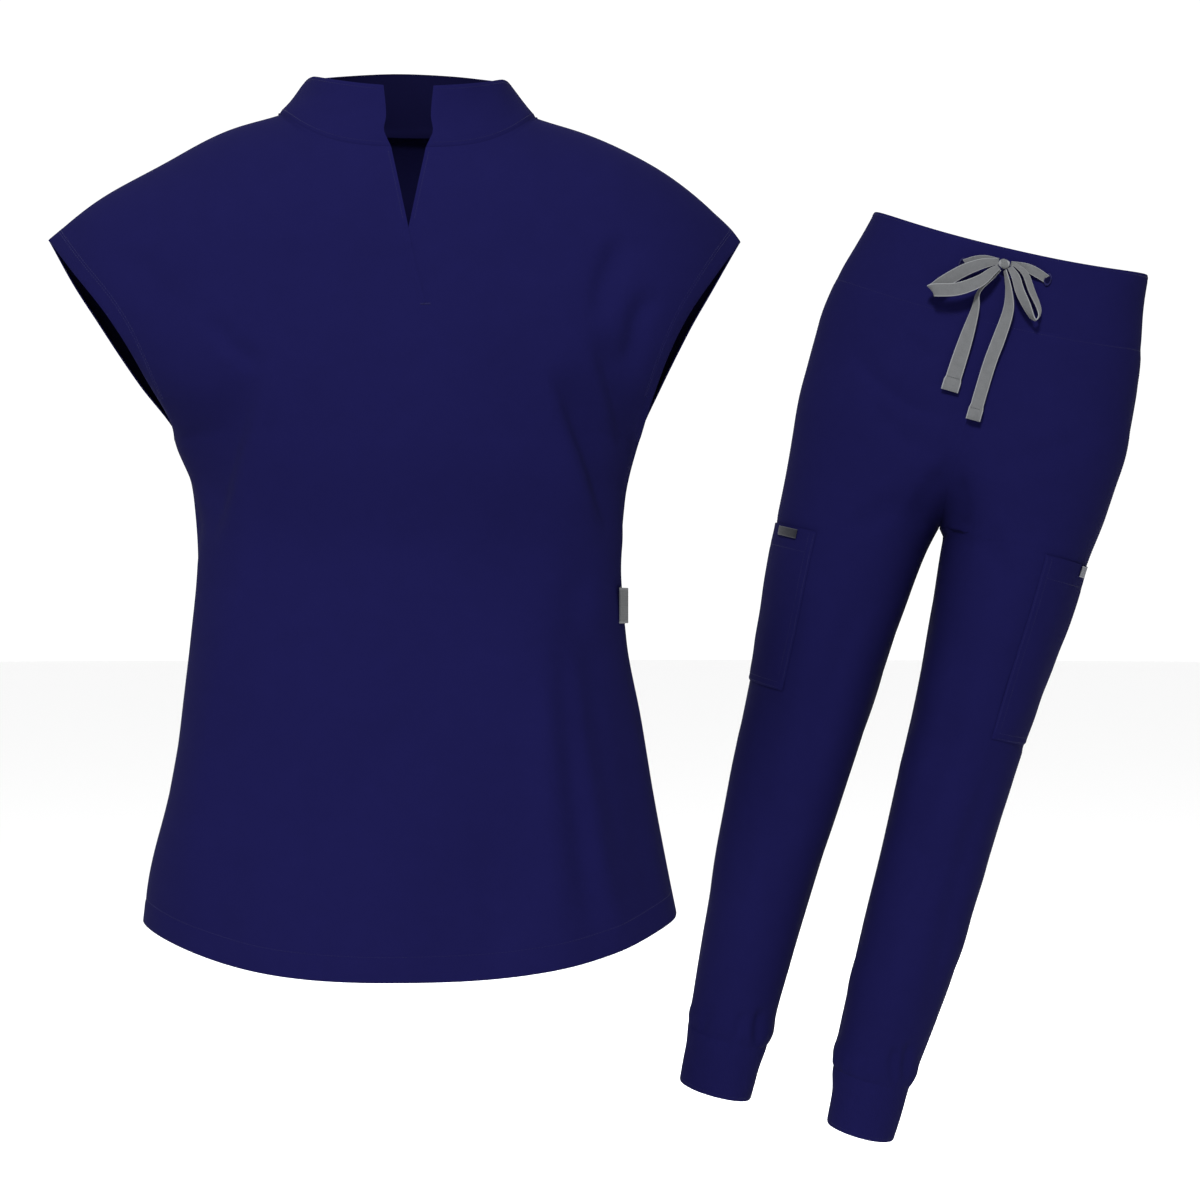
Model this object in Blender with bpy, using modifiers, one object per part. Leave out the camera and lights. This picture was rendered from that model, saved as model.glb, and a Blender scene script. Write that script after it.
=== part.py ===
"""Medical scrubs: a stand-collar tunic top and drawstring jogger trousers, hollow and filled out."""

import math

import bmesh
import bpy
from mathutils import Euler, Vector

MM = 0.001

# Walls and gaps
CLOTH = 1.2 * MM  # one layer of twill with its turnings
BAND_CLOTH = 1.8 * MM  # doubled cloth: collar, waistband, cuffs
TAPE_THICK = 1.5 * MM
SEAM_GAP = 0.3 * MM

# Top: half-widths and half-depths at each height, z from the neck's side point
TOP_SIDES = {
    # side: z, half-width from the hem corner up to the sleeve's tip
    -1: (
        (-0.6530, 0.2145),
        (-0.6210, 0.2089),
        (-0.5560, 0.1945),
        (-0.4910, 0.1832),
        (-0.4270, 0.1752),
        (-0.3620, 0.1704),
        (-0.3130, 0.1736),
        (-0.2640, 0.1865),
        (-0.2160, 0.2185),
        (-0.1670, 0.2505),
        (-0.1350, 0.2720),
        (-0.1032, 0.2904),
    ),
    1: (
        (-0.6530, 0.2207),
        (-0.6210, 0.2141),
        (-0.5560, 0.2017),
        (-0.4910, 0.1909),
        (-0.4270, 0.1790),
        (-0.3620, 0.1744),
        (-0.3130, 0.1777),
        (-0.2640, 0.1893),
        (-0.2160, 0.2090),
        (-0.1670, 0.2330),
        (-0.1350, 0.2520),
        (-0.0982, 0.2739),
    ),
}
TOP_DEPTHS = (
    # z, front, back
    (-0.690, 0.130, 0.132),
    (-0.560, 0.119, 0.122),
    (-0.450, 0.109, 0.108),
    (-0.360, 0.106, 0.099),
    (-0.270, 0.124, 0.107),
    (-0.200, 0.127, 0.114),
    (-0.120, 0.117, 0.112),
    (-0.050, 0.104, 0.102),
    (0.040, 0.098, 0.098),
)
SHOULDER_LINE = {
    # side: half-width, z from the neck out to the sleeve's tip
    -1: (
        (0.1055, 0.0000),
        (0.1414, -0.0125),
        (0.1945, -0.0400),
        (0.2425, -0.0669),
        (0.2785, -0.0932),
        (0.2904, -0.1032),
    ),
    1: (
        (0.1055, 0.0000),
        (0.1414, -0.0105),
        (0.1926, -0.0352),
        (0.2340, -0.0610),
        (0.2656, -0.0876),
        (0.2739, -0.0982),
    ),
}
UNDERARM_Z = -0.264
NECK_HALF = 0.1055  # half the neck's width at the seam
NECK_FRONT_DROP, NECK_CURVE = 0.041, 3.2
NECK_BACK_RISE = 0.002
NOTCH_HALF = 0.0135  # half the slit's width at the neck seam
SLIT_APEX_Z = -0.1072
HEM_CENTRE_Z, HEM_SIDE_Z, HEM_POWER = -0.687, -0.653, 2.6
ON_CENTRE = 1e-9  # a point this close to the centre plane is on it
RIDGE_ROUND = 0.10  # height over which the shoulder rounds into the chest
RIDGE_PEAK = {-1: (0.020, 1.0), 1: (0.045, 1.5)}  # face: rise within the neck, its power
TORSO_POWER = 2.3
SLEEVE_OPEN = 0.09  # how far the armhole edge stands off the centre plane, as extra width
SHOULDER_WIDEN = 0.35  # extra width for each metre above the sleeve's tip
ARMHOLE_CUT = {
    # face: side: how far the edge is moved at mid height
    -1: {-1: -0.012, 1: -0.010},
    1: {-1: 0.005, 1: 0.004},
}
UNDERARM_ROW = 0.67
APEX_ROW = 0.89
NECK_COLUMN = 0.62

# Collar
COLLAR_TOP_HALF = 0.0822
COLLAR_TOP = {-1: (0.086, 0.0085), 1: (0.084, 0.0535)}  # face: depth, z at the centre
COLLAR_TOP_SIDE_Z = 0.0325
COLLAR_OPEN_HALF = 0.0190
COLLAR_BELLY = 8.0 * MM
COLLAR_RISE_POWER = 1.4  # how the top edge climbs from the sides to the centre

# Side tab, a folded tape in the right side seam (plan path, then its height)
SIDE_TAB_PATH = ((0.1779, -0.0008), (0.1812, -0.0050), (0.1794, -0.0165), (0.1752, -0.0285))
SIDE_TAB_Z = (-0.4130, -0.3840)
TAB_THICK = 1.0 * MM

# Trousers, in their own upright frame: x across, z up from the waist's side point
TROUSERS_PLACE = (0.6015, 0.3993, -0.0395)
TROUSERS_LEAN = math.radians(14.3)
TROUSERS_TURN = math.radians(-12.5)
TROUSERS_OUT = (
    # drop, left, right half-width
    (0.000, 0.1415, 0.1375),
    (0.036, 0.1510, 0.1418),
    (0.072, 0.1606, 0.1481),
    (0.120, 0.1678, 0.1561),
    (0.180, 0.1688, 0.1594),
    (0.240, 0.1648, 0.1566),
    (0.292, 0.1615, 0.1502),
    (0.340, 0.1582, 0.1468),
    (0.440, 0.1492, 0.1367),
    (0.560, 0.1426, 0.1312),
    (0.680, 0.1343, 0.1262),
    (0.760, 0.1284, 0.1205),
    (0.820, 0.1229, 0.1138),
    (0.846, 0.1205, 0.1100),
    (0.860, 0.1180, 0.1095),
    (0.900, 0.1150, 0.1074),
)
TROUSERS_IN = (
    # drop, left, right inner edge
    (0.292, 0.0004, 0.0004),
    (0.300, 0.0026, 0.0060),
    (0.320, 0.0072, 0.0076),
    (0.360, 0.0126, 0.0116),
    (0.440, 0.0180, 0.0188),
    (0.520, 0.0233, 0.0209),
    (0.640, 0.0313, 0.0243),
    (0.760, 0.0360, 0.0262),
    (0.846, 0.0382, 0.0315),
    (0.870, 0.0402, 0.0366),
    (0.900, 0.0408, 0.0390),
)
TROUSERS_DEPTHS = (
    # drop, front, back
    (0.000, 0.088, 0.094),
    (0.072, 0.096, 0.106),
    (0.180, 0.100, 0.126),
    (0.260, 0.092, 0.122),
    (0.292, 0.089, 0.114),
    (0.400, 0.078, 0.088),
    (0.560, 0.062, 0.068),
    (0.700, 0.052, 0.062),
    (0.800, 0.045, 0.052),
    (0.846, 0.040, 0.043),
    (0.900, 0.038, 0.038),
)
HIP_POWER, LEG_POWER = 2.35, 2.05
WAIST_BAND = 0.072
WAIST_DIP = 0.016  # the front waist is lower than the sides
DIP_FADE = 0.12
RISE_CURVE, CROTCH, CROTCH_SLOPE = 0.130, 0.292, 0.27
CUFF_SEAM, CUFF_END = 0.842, 0.899

# Cargo pockets: where each patch runs round the outer thigh, as angles from the outer seam
POCKET_DROP = {-1: (0.326, 0.486), 1: (0.2935, 0.480)}
POCKET_TURN = math.radians(67.5)  # each way, three of the leg panels' columns
POCKET_TAB = {
    # side: drop, height, turn from the outer seam, length round the thigh
    -1: (0.3325, 0.009, math.radians(40), 0.0340),
    1: (0.3000, 0.0110, math.radians(22), 0.0150),
}
TURN_STEP, DROP_STEP = math.radians(2), 5 * MM  # the reach over which the thigh's slope is taken
POCKET_LIFT = 0.5 * MM
POCKET_TAB_LIFT = 0.7 * MM

# Drawstring tape: x, drop, distance out from the band, width, then the angle of the width in the
# front plane and its tilt out of that plane, in degrees
KNOT = (-0.0015, 0.0335, 0.0085)
KNOT_RADII = (0.0060, 0.0050, 0.0058)
TAPE = {
    "tape_exit_left": (
        (-0.0400, 0.0410, -0.0004, 0.0080, 107, 0),
        (-0.0300, 0.0360, 0.0030, 0.0090, 110, 0),
        (-0.0200, 0.0325, 0.0040, 0.0080, 100, 0),
        (-0.0074, 0.0315, 0.0065, 0.0050, 92, 0),
    ),
    "tape_exit_right": (
        (0.0415, 0.0370, -0.0004, 0.0080, 75, 0),
        (0.0300, 0.0335, 0.0030, 0.0090, 75, 0),
        (0.0190, 0.0312, 0.0040, 0.0080, 78, 0),
        (0.0043, 0.0315, 0.0065, 0.0050, 85, 0),
    ),
    "tape_loop_left": (
        (-0.0081, 0.0325, 0.0105, 0.0060, -60, 0),
        (-0.0220, 0.0385, 0.0120, 0.0100, -56, 0),
        (-0.0370, 0.0485, 0.0125, 0.0120, -52, 0),
        (-0.0520, 0.0625, 0.0125, 0.0125, -44, 0),
        (-0.0600, 0.0720, 0.0135, 0.0125, -36, 0),
        (-0.0625, 0.0745, 0.0165, 0.0125, -34, 0),
        (-0.0590, 0.0740, 0.0195, 0.0125, -38, 0),
        (-0.0385, 0.0685, 0.0200, 0.0125, -60, 0),
        (-0.0205, 0.0565, 0.0185, 0.0115, -50, 0),
        (-0.0110, 0.0440, 0.0150, 0.0080, -40, 0),
        (-0.0062, 0.0380, 0.0115, 0.0050, -40, 0),
    ),
    "tape_loop_right": (
        (0.0045, 0.0357, 0.0105, 0.0050, 31, 0),
        (0.0120, 0.0440, 0.0135, 0.0080, 31, 10),
        (0.0190, 0.0560, 0.0145, 0.0090, 33, 20),
        (0.0285, 0.0680, 0.0140, 0.0090, 38, 35),
        (0.0365, 0.0775, 0.0125, 0.0080, 45, 65),
        (0.0405, 0.0790, 0.0115, 0.0070, 50, 90),
        (0.0425, 0.0740, 0.0105, 0.0070, 55, 110),
        (0.0400, 0.0665, 0.0100, 0.0070, 50, 130),
        (0.0300, 0.0530, 0.0095, 0.0080, 38, 140),
        (0.0205, 0.0390, 0.0095, 0.0070, 30, 150),
        (0.0110, 0.0330, 0.0095, 0.0050, 30, 160),
        (0.0055, 0.0318, 0.0098, 0.0040, 30, 165),
    ),
    "tape_tail_left": (
        (-0.0048, 0.0392, 0.0075, 0.0045, -25, 20),
        (-0.0110, 0.0500, 0.0060, 0.0055, -25, 35),
        (-0.0170, 0.0610, 0.0055, 0.0050, -15, 55),
        (-0.0190, 0.0690, 0.0060, 0.0060, 0, 50),
        (-0.0178, 0.0820, 0.0065, 0.0090, 0, 35),
        (-0.0190, 0.1080, 0.0065, 0.0130, 0, 12),
        (-0.0208, 0.1370, 0.0055, 0.0150, 0, 3),
        (-0.0222, 0.1640, 0.0045, 0.0150, 0, 0),
    ),
    "tape_tail_right": (
        (0.0006, 0.0394, 0.0095, 0.0045, 0, 60),
        (0.0085, 0.0570, 0.0100, 0.0080, 10, 45),
        (0.0130, 0.0765, 0.0085, 0.0110, 0, 20),
        (0.0112, 0.1035, 0.0065, 0.0125, 0, 8),
        (0.0086, 0.1270, 0.0055, 0.0125, 0, 4),
        (0.0072, 0.1560, 0.0048, 0.0125, 0, 0),
        (0.0064, 0.1860, 0.0045, 0.0125, 0, 0),
    ),
}

# Mesh densities
SHARP_ANGLE = math.radians(40)
SHOULDER_COLUMNS, NECK_COLUMNS = 7, 6
SEAM_ROWS, ARMHOLE_ROWS = 9, 7
ROW_BUNCH, COLUMN_BUNCH = 1.35, 1.6  # rows close up at the shoulder, columns at the side
LEG_COLUMNS, BAND_ROWS, HIP_ROWS, POCKET_ROWS, LEG_ROWS = 8, 3, 7, 4, 7
POCKET_COLUMNS, TAB_COLUMNS = 6, 4
RING_STEPS, CUFF_STEPS, RING_ROWS = 32, 24, 4
TAPE_STEPS = 2

COLOURS = {
    # material: red, green, blue, roughness
    "navy_twill": (0.0123, 0.0116, 0.0723, 0.85),
    "navy_rib": (0.0120, 0.0115, 0.0760, 0.90),
    "grey_tape": (0.270, 0.270, 0.285, 0.80),
    "tab_tape": (0.180, 0.180, 0.200, 0.80),
}


# ---- numbers ----


def smooth_row(table, at, column):
    """Reads a column of a table at a place between its rows, along a smooth monotone curve."""
    rows = sorted(table)
    at = min(max(at, rows[0][0]), rows[-1][0])
    k = max(i for i in range(len(rows) - 1) if rows[i][0] <= at)

    def slope(i):
        if i <= 0 or i >= len(rows) - 1:
            return None
        before = (rows[i][column] - rows[i - 1][column]) / (rows[i][0] - rows[i - 1][0])
        after = (rows[i + 1][column] - rows[i][column]) / (rows[i + 1][0] - rows[i][0])
        return 0.0 if before * after <= 0 else 2 * before * after / (before + after)

    width = rows[k + 1][0] - rows[k][0]
    chord = (rows[k + 1][column] - rows[k][column]) / width
    start, end = slope(k), slope(k + 1)
    start = chord if start is None else start
    end = chord if end is None else end
    s = (at - rows[k][0]) / width
    low, high = rows[k][column], rows[k + 1][column]
    return (
        low * (1 + 2 * s) * (1 - s) ** 2
        + high * s * s * (3 - 2 * s)
        + start * width * s * (1 - s) ** 2
        - end * width * s * s * (1 - s)
    )


def signed_power(value, power):
    return math.copysign(abs(value) ** power, value)


def clamp(value, low=0.0, high=1.0):
    return min(max(value, low), high)


# ---- the top's surfaces (side: -1 left, 1 right; face: -1 front, 1 back) ----


def side_half(z, side):
    return smooth_row(TOP_SIDES[side], z, 1)


def neck_z(x, face):
    """The neck seam's height at a distance from the centre."""
    share = abs(x) / NECK_HALF
    return -NECK_FRONT_DROP * (1 - share**NECK_CURVE) if face < 0 else NECK_BACK_RISE * (1 - share**2)


def body_share(x, z, side):
    """The depth at x as a share of the centre's, over the torso and its sleeve."""
    tip_z = TOP_SIDES[side][-1][0]
    lift = clamp((z - UNDERARM_Z) / (tip_z - UNDERARM_Z))
    half = side_half(z, side) * (1 + SLEEVE_OPEN * math.sin(math.pi * lift))
    half += SHOULDER_WIDEN * max(0.0, z - tip_z)
    return max(0.0, 1 - (abs(x) / half) ** TORSO_POWER) ** 0.5


def ridge(x, side, face):
    """The height where the cloth turns over the shoulder at x."""
    if abs(x) >= NECK_HALF:
        return smooth_row(SHOULDER_LINE[side], abs(x), 1)
    peak, power = RIDGE_PEAK[face]
    return peak * (1 - (x / NECK_HALF) ** 2) ** power


def top_depth(x, z, side, face):
    """How far the front or back stands from the centre plane."""
    fall = clamp((ridge(x, side, face) - z) / RIDGE_ROUND)
    rounding = math.sqrt(max(0.0, 1 - (1 - fall) ** 2))
    return smooth_row(TOP_DEPTHS, z, 1 if face < 0 else 2) * body_share(x, z, side) * rounding


def top_side_edge(t, side, face):
    """Side seam from the hem corner to the underarm, then the armhole up to the sleeve's tip."""
    if t <= UNDERARM_ROW:
        z = HEM_SIDE_Z + (UNDERARM_Z - HEM_SIDE_Z) * t / UNDERARM_ROW
        return side * side_half(z, side), z
    up = (t - UNDERARM_ROW) / (1 - UNDERARM_ROW)
    z = UNDERARM_Z + (TOP_SIDES[side][-1][0] - UNDERARM_Z) * up
    return side * (side_half(z, side) + ARMHOLE_CUT[face][side] * math.sin(math.pi * up)), z


def top_centre_edge(t, side, face):
    """Centre line, then on the front the slit's edge up to the neck seam."""
    if face > 0:
        return 0.0, HEM_CENTRE_Z + (NECK_BACK_RISE - HEM_CENTRE_Z) * t
    if t <= APEX_ROW:
        return 0.0, HEM_CENTRE_Z + (SLIT_APEX_Z - HEM_CENTRE_Z) * t / APEX_ROW
    up = (t - APEX_ROW) / (1 - APEX_ROW)
    top = neck_z(NOTCH_HALF, face)
    return side * NOTCH_HALF * up, SLIT_APEX_Z + (top - SLIT_APEX_Z) * up


def top_upper_edge(s, side, face):
    """Shoulder line from the sleeve's tip to the neck, then the neck seam."""
    tip = abs(top_side_edge(1, side, face)[0])
    if s <= NECK_COLUMN:
        x = tip + (NECK_HALF - tip) * s / NECK_COLUMN
        return side * x, ridge(x, side, face)
    end = NOTCH_HALF if face < 0 else 0.0
    turn = (s - NECK_COLUMN) / (1 - NECK_COLUMN)
    x = NECK_HALF * math.cos(turn * math.acos(end / NECK_HALF))
    return side * x, neck_z(x, face)


def top_hem(s, side):
    half = side_half(HEM_SIDE_Z, side)
    x = half * (1 - s)
    return side * x, HEM_CENTRE_Z + (HEM_SIDE_Z - HEM_CENTRE_Z) * (x / half) ** HEM_POWER


def top_point(s, t, side, face):
    """A point of the top: s from the side to the centre, t from the hem to the shoulder."""
    left, right = top_side_edge(t, side, face), top_centre_edge(t, side, face)
    low, high = top_hem(s, side), top_upper_edge(s, side, face)
    corners = (
        (top_hem(0, side), top_hem(1, side)),
        (top_upper_edge(0, side, face), top_upper_edge(1, side, face)),
    )
    flat = [
        (1 - s) * left[k]
        + s * right[k]
        + (1 - t) * low[k]
        + t * high[k]
        - (1 - t) * ((1 - s) * corners[0][0][k] + s * corners[0][1][k])
        - t * ((1 - s) * corners[1][0][k] + s * corners[1][1][k])
        for k in (0, 1)
    ]
    depth = top_depth(flat[0], flat[1], side, face)
    return Vector((flat[0], face * (depth + SEAM_GAP / 2), flat[1]))


# ---- the trousers' surfaces ----


def leg_split(drop):
    """0 where the hips are one oval, 1 at the crotch where each leg has its own."""
    s = clamp((drop - RISE_CURVE) / (CROTCH - RISE_CURVE))
    shared = 2 * s**3 - 3 * s**2 + 1 + CROTCH_SLOPE * (s**2 - s**3)
    return (1 - shared) / (1 + shared)


def trousers_point(drop, turn, side, face):
    """A point of the trousers: turn 0 at the outer seam, 1 at the centre seam or the inseam."""
    out = smooth_row(TROUSERS_OUT, drop, 1 if side < 0 else 2)
    deep = smooth_row(TROUSERS_DEPTHS, drop, 1 if face < 0 else 2)
    if drop < CROTCH:
        split = leg_split(drop)
        middle = out * split / (1 + split)
        power = HIP_POWER + (LEG_POWER - HIP_POWER) * split
        angle = turn * math.acos(-(split ** (power / 2)))
    else:
        inner = smooth_row(TROUSERS_IN, drop, 1 if side < 0 else 2)
        middle = (out + inner) / 2
        power = LEG_POWER
        angle = turn * math.pi
    across = signed_power(math.cos(angle), 2 / power)
    around = abs(math.sin(angle)) ** (2 / power)
    x = middle + (out - middle) * across
    dip = WAIST_DIP * around**2 * clamp(1 - (drop - WAIST_BAND) / DIP_FADE) if face < 0 else 0.0
    return Vector((side * x, face * deep * around, -(drop + dip)))


# ---- solids ----


def material(name):
    found = bpy.data.materials.get(name)
    if found:
        return found
    made = bpy.data.materials.new(name)
    made.use_nodes = True
    shader = made.node_tree.nodes["Principled BSDF"]
    red, green, blue, rough = COLOURS[name]
    shader.inputs["Base Color"].default_value = (red, green, blue, 1)
    shader.inputs["Roughness"].default_value = rough
    shader.inputs["Metallic"].default_value = 0.0
    return made


def add_object(name, bm, cloth, parent=None):
    bmesh.ops.recalc_face_normals(bm, faces=bm.faces)
    mesh = bpy.data.meshes.new(name)
    bm.to_mesh(mesh)
    bm.free()
    mesh.materials.append(material(cloth))
    mesh.shade_smooth()
    mesh.set_sharp_from_angle(angle=SHARP_ANGLE)
    made = bpy.data.objects.new(name, mesh)
    made.parent = parent
    parts.objects.link(made)
    return made


def outward(point, rows, columns):
    """Unit normals of a grid of points, from its neighbours."""
    normals = []
    for i in range(rows):
        line = []
        for j in range(columns):
            down, up = point[max(i - 1, 0)][j], point[min(i + 1, rows - 1)][j]
            back, on = point[i][max(j - 1, 0)], point[i][min(j + 1, columns - 1)]
            line.append((on - back).cross(up - down).normalized())
        normals.append(line)
    return normals


def add_wall(bm, grids, wall, seam_axes):
    """A wall of cloth from grids of outer points that share their last columns, with flat seam faces."""
    made = {}

    def corner(co, layer):
        key = (round(co.x, 7), round(co.y, 7), round(co.z, 7), layer)
        if key not in made:
            made[key] = bm.verts.new(co)
        return made[key]

    edges = {}
    for grid in grids:
        rows, columns = len(grid), len(grid[0])
        normals = outward(grid, rows, columns)
        middle = grid[rows // 2][columns // 2]
        facing = 1 if normals[rows // 2][columns // 2].dot(Vector((0, middle.y, 0))) > 0 else -1
        outer, inner = [], []
        for i in range(rows):
            outer.append([])
            inner.append([])
            for j in range(columns):
                normal = normals[i][j] * facing
                for axis in seam_axes(i, j, grid[i][j]):
                    normal[axis] = 0.0
                normal = normal.normalized()
                outer[i].append(corner(grid[i][j], "out"))
                inner[i].append(corner(grid[i][j] - normal * wall, "in"))
        for i in range(rows - 1):
            for j in range(columns - 1):
                quad = [(i, j), (i, j + 1), (i + 1, j + 1), (i + 1, j)]
                for layer, sheet in ((1, outer), (-1, inner)):
                    ring = list(dict.fromkeys(sheet[a][b] for a, b in quad))
                    if len(ring) > 2:
                        bm.faces.new(ring if layer > 0 else ring[::-1])
                for a, b in zip(quad, quad[1:] + quad[:1]):
                    pair = (outer[a[0]][a[1]], outer[b[0]][b[1]])
                    if pair[0] is pair[1]:
                        continue
                    key = frozenset(pair)
                    under = (inner[a[0]][a[1]], inner[b[0]][b[1]])
                    edges[key] = None if key in edges else (pair, under)
    for rim in edges.values():
        if rim:
            (a, b), (c, d) = rim
            ring = list(dict.fromkeys((b, a, c, d)))
            bm.faces.new(ring)


def ring_band(name, rings, wall, cloth, parent, closed=True):
    """A band through rings of points, made solid inwards."""
    bm = bmesh.new()
    rows = [[bm.verts.new(co) for co in ring] for ring in rings]
    count = len(rings[0])
    for low, high in zip(rows, rows[1:]):
        for j in range(count if closed else count - 1):
            k = (j + 1) % count
            bm.faces.new((low[j], low[k], high[k], high[j]))
    band = add_object(name, bm, cloth, parent)
    shell = band.modifiers.new("wall", "SOLIDIFY")
    shell.thickness = wall
    shell.offset = -1
    shell.use_even_offset = True
    return band


# ---- pieces of the top ----


def top_grid(side, face):
    """Rows of points, closer together at the side and over the shoulder."""
    grid = []
    rows = [UNDERARM_ROW * k / SEAM_ROWS for k in range(SEAM_ROWS)]
    armhole = 1 - UNDERARM_ROW
    rows += [1 - armhole * (1 - k / ARMHOLE_ROWS) ** ROW_BUNCH for k in range(ARMHOLE_ROWS + 1)]
    rows[min(range(len(rows)), key=lambda k: abs(rows[k] - APEX_ROW))] = APEX_ROW
    columns = [NECK_COLUMN * (k / SHOULDER_COLUMNS) ** COLUMN_BUNCH for k in range(SHOULDER_COLUMNS)]
    neck = 1 - NECK_COLUMN
    columns += [NECK_COLUMN + neck * k / NECK_COLUMNS for k in range(NECK_COLUMNS + 1)]
    for t in rows:
        grid.append([top_point(s, t, side, face) for s in columns])
    return grid, rows, columns


def add_top_panel(name, face):
    """The front or the back: two halves with one centre line, a slit at the front's neck."""
    bm = bmesh.new()
    halves, seams = [], set()
    for side in (-1, 1):
        grid, rows, columns = top_grid(side, face)
        halves.append(grid)
        for i, t in enumerate(rows):
            for j, s in enumerate(columns):
                on_side = j == 0 and (t <= UNDERARM_ROW or i == len(rows) - 1)
                on_shoulder = i == len(rows) - 1 and s <= NECK_COLUMN
                if on_side or on_shoulder:
                    seams.add((i, j))

    def seam_axes(i, j, co):
        flat = (1,) if (i, j) in seams else ()
        return (*flat, 0) if abs(co.x) < ON_CENTRE else flat

    add_wall(bm, halves, CLOTH, seam_axes)
    return add_object(name, bm, "navy_twill")


def collar_point(turn, height):
    """Collar point: turn 0 at the front centre, pi at the back; height 0 at the seam, 1 at the top."""
    face, side = (-1 if math.cos(turn) > 0 else 1), (-1 if math.sin(turn) < 0 else 1)
    x = NECK_HALF * math.sin(turn)
    z = neck_z(x, face)
    seam = Vector((x, face * top_depth(x, z, side, face), z))
    ahead = abs(math.cos(turn))
    top_y, top_z = COLLAR_TOP[face]
    top_z = COLLAR_TOP_SIDE_Z + (top_z - COLLAR_TOP_SIDE_Z) * ahead**COLLAR_RISE_POWER
    top = Vector((COLLAR_TOP_HALF * math.sin(turn), face * top_y * ahead, top_z))
    start = seam + (top - seam).normalized() * (SEAM_GAP + CLOTH)
    out = Vector((math.sin(turn), -math.cos(turn), 0))
    return start.lerp(top, height) - out * COLLAR_BELLY * height * (1 - height)


def add_collar():
    """One band round the neck, open at the front over the slit."""
    columns = [k / NECK_COLUMNS for k in range(NECK_COLUMNS + 1)]
    front = [math.pi / 2 - c * math.acos(NOTCH_HALF / NECK_HALF) for c in columns[:-1]]
    back = [math.pi / 2 + c * math.pi / 2 for c in columns]
    rings = []
    for k in range(RING_ROWS + 1):
        half = NECK_HALF + (COLLAR_TOP_HALF - NECK_HALF) * k / RING_ROWS
        turns = [math.asin(COLLAR_OPEN_HALF / half), *front[::-1], *back[1:]]
        turns += [2 * math.pi - turn for turn in turns[-2::-1]]
        rings.append([collar_point(turn, k / RING_ROWS) for turn in turns])
    return ring_band("collar", rings, BAND_CLOTH, "navy_twill", None, closed=False)


def add_side_tab():
    """A short folded tape in the side seam, standing off the panel."""
    bm = bmesh.new()
    rows = []
    for z in SIDE_TAB_Z:
        rows.append([bm.verts.new((x, y, z)) for x, y in SIDE_TAB_PATH])
    for a, b, c, d in zip(rows[0], rows[0][1:], rows[1][1:], rows[1]):
        bm.faces.new((a, b, c, d))
    tab = add_object("side_tab", bm, "tab_tape")
    shell = tab.modifiers.new("wall", "SOLIDIFY")
    shell.thickness = TAB_THICK
    shell.offset = 1
    return tab


# ---- pieces of the trousers ----


def drops(start, end, count):
    return [start + (end - start) * k / count for k in range(count + 1)]


def add_trouser_panel(name, side, face):
    """Front or back of one leg, from the waistband's seam to the cuff's."""
    levels = drops(WAIST_BAND + SEAM_GAP / 2, RISE_CURVE, BAND_ROWS)
    levels += drops(RISE_CURVE, CROTCH, HIP_ROWS)[1:]
    mouth, foot = POCKET_DROP[side]
    levels.append(mouth)
    levels += drops(mouth, foot, POCKET_ROWS)[1:]
    levels += drops(foot, CUFF_SEAM - SEAM_GAP / 2, LEG_ROWS)[1:]
    grid = []
    for drop in levels:
        row = []
        for j in range(LEG_COLUMNS + 1):
            co = trousers_point(drop, j / LEG_COLUMNS, side, face)
            row.append(co + Vector((side, face, 0)) * SEAM_GAP / 2)
        grid.append(row)
    crotch_row = min(range(len(levels)), key=lambda k: abs(levels[k] - CROTCH))

    def seam_axes(i, j, co):
        if j == 0:
            return (1,)
        if j == LEG_COLUMNS:
            return (0,) if i < crotch_row else (1,) if i > crotch_row else (0, 1)
        return ()

    bm = bmesh.new()
    add_wall(bm, [grid], CLOTH, seam_axes)
    return add_object(name, bm, "navy_twill", trousers)


def hip_ring(drop, count):
    """A ring of the waist: down one side and back up the other."""
    ring = []
    for k in range(count):
        quarter, place = divmod(4 * k / count, 1)
        side, face = ((-1, -1), (1, -1), (1, 1), (-1, 1))[int(quarter)]
        turn = place if side * face > 0 else 1 - place
        ring.append(trousers_point(drop, turn, side, face))
    return ring


def leg_ring(drop, side, count):
    """A ring of one leg, all round."""
    ring = []
    for k in range(count):
        face, place = (-1, 2 * k / count) if 2 * k < count else (1, 2 - 2 * k / count)
        ring.append(trousers_point(drop, place, side, face))
    return ring


def add_waistband():
    levels = drops(0.0, WAIST_BAND - SEAM_GAP / 2, RING_ROWS)
    rings = [hip_ring(drop, RING_STEPS) for drop in levels]
    return ring_band("waistband", rings[::-1], BAND_CLOTH, "navy_twill", trousers)


def add_cuff(name, side):
    levels = drops(CUFF_SEAM + SEAM_GAP / 2, CUFF_END, RING_ROWS)
    rings = [leg_ring(drop, side, CUFF_STEPS) for drop in levels]
    if side < 0:
        rings = rings[::-1]
    return ring_band(name, rings, BAND_CLOTH, "navy_rib", trousers)


def thigh_point(drop, turn, side, lift):
    """A point round the outer thigh, moved out; turn is negative towards the front."""
    face = -1 if turn < 0 else 1

    def skin(at_drop, at_turn):
        at_face = -1 if at_turn < 0 else 1
        return trousers_point(at_drop, abs(at_turn) / math.pi, side, at_face)

    along = skin(drop, turn + TURN_STEP) - skin(drop, turn - TURN_STEP)
    down = skin(drop + DROP_STEP, turn) - skin(drop - DROP_STEP, turn)
    normal = along.cross(down).normalized()
    if normal.x * side < 0:
        normal = -normal
    co = skin(drop, turn) + Vector((side, face, 0)) * SEAM_GAP / 2
    return co + normal * lift


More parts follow.
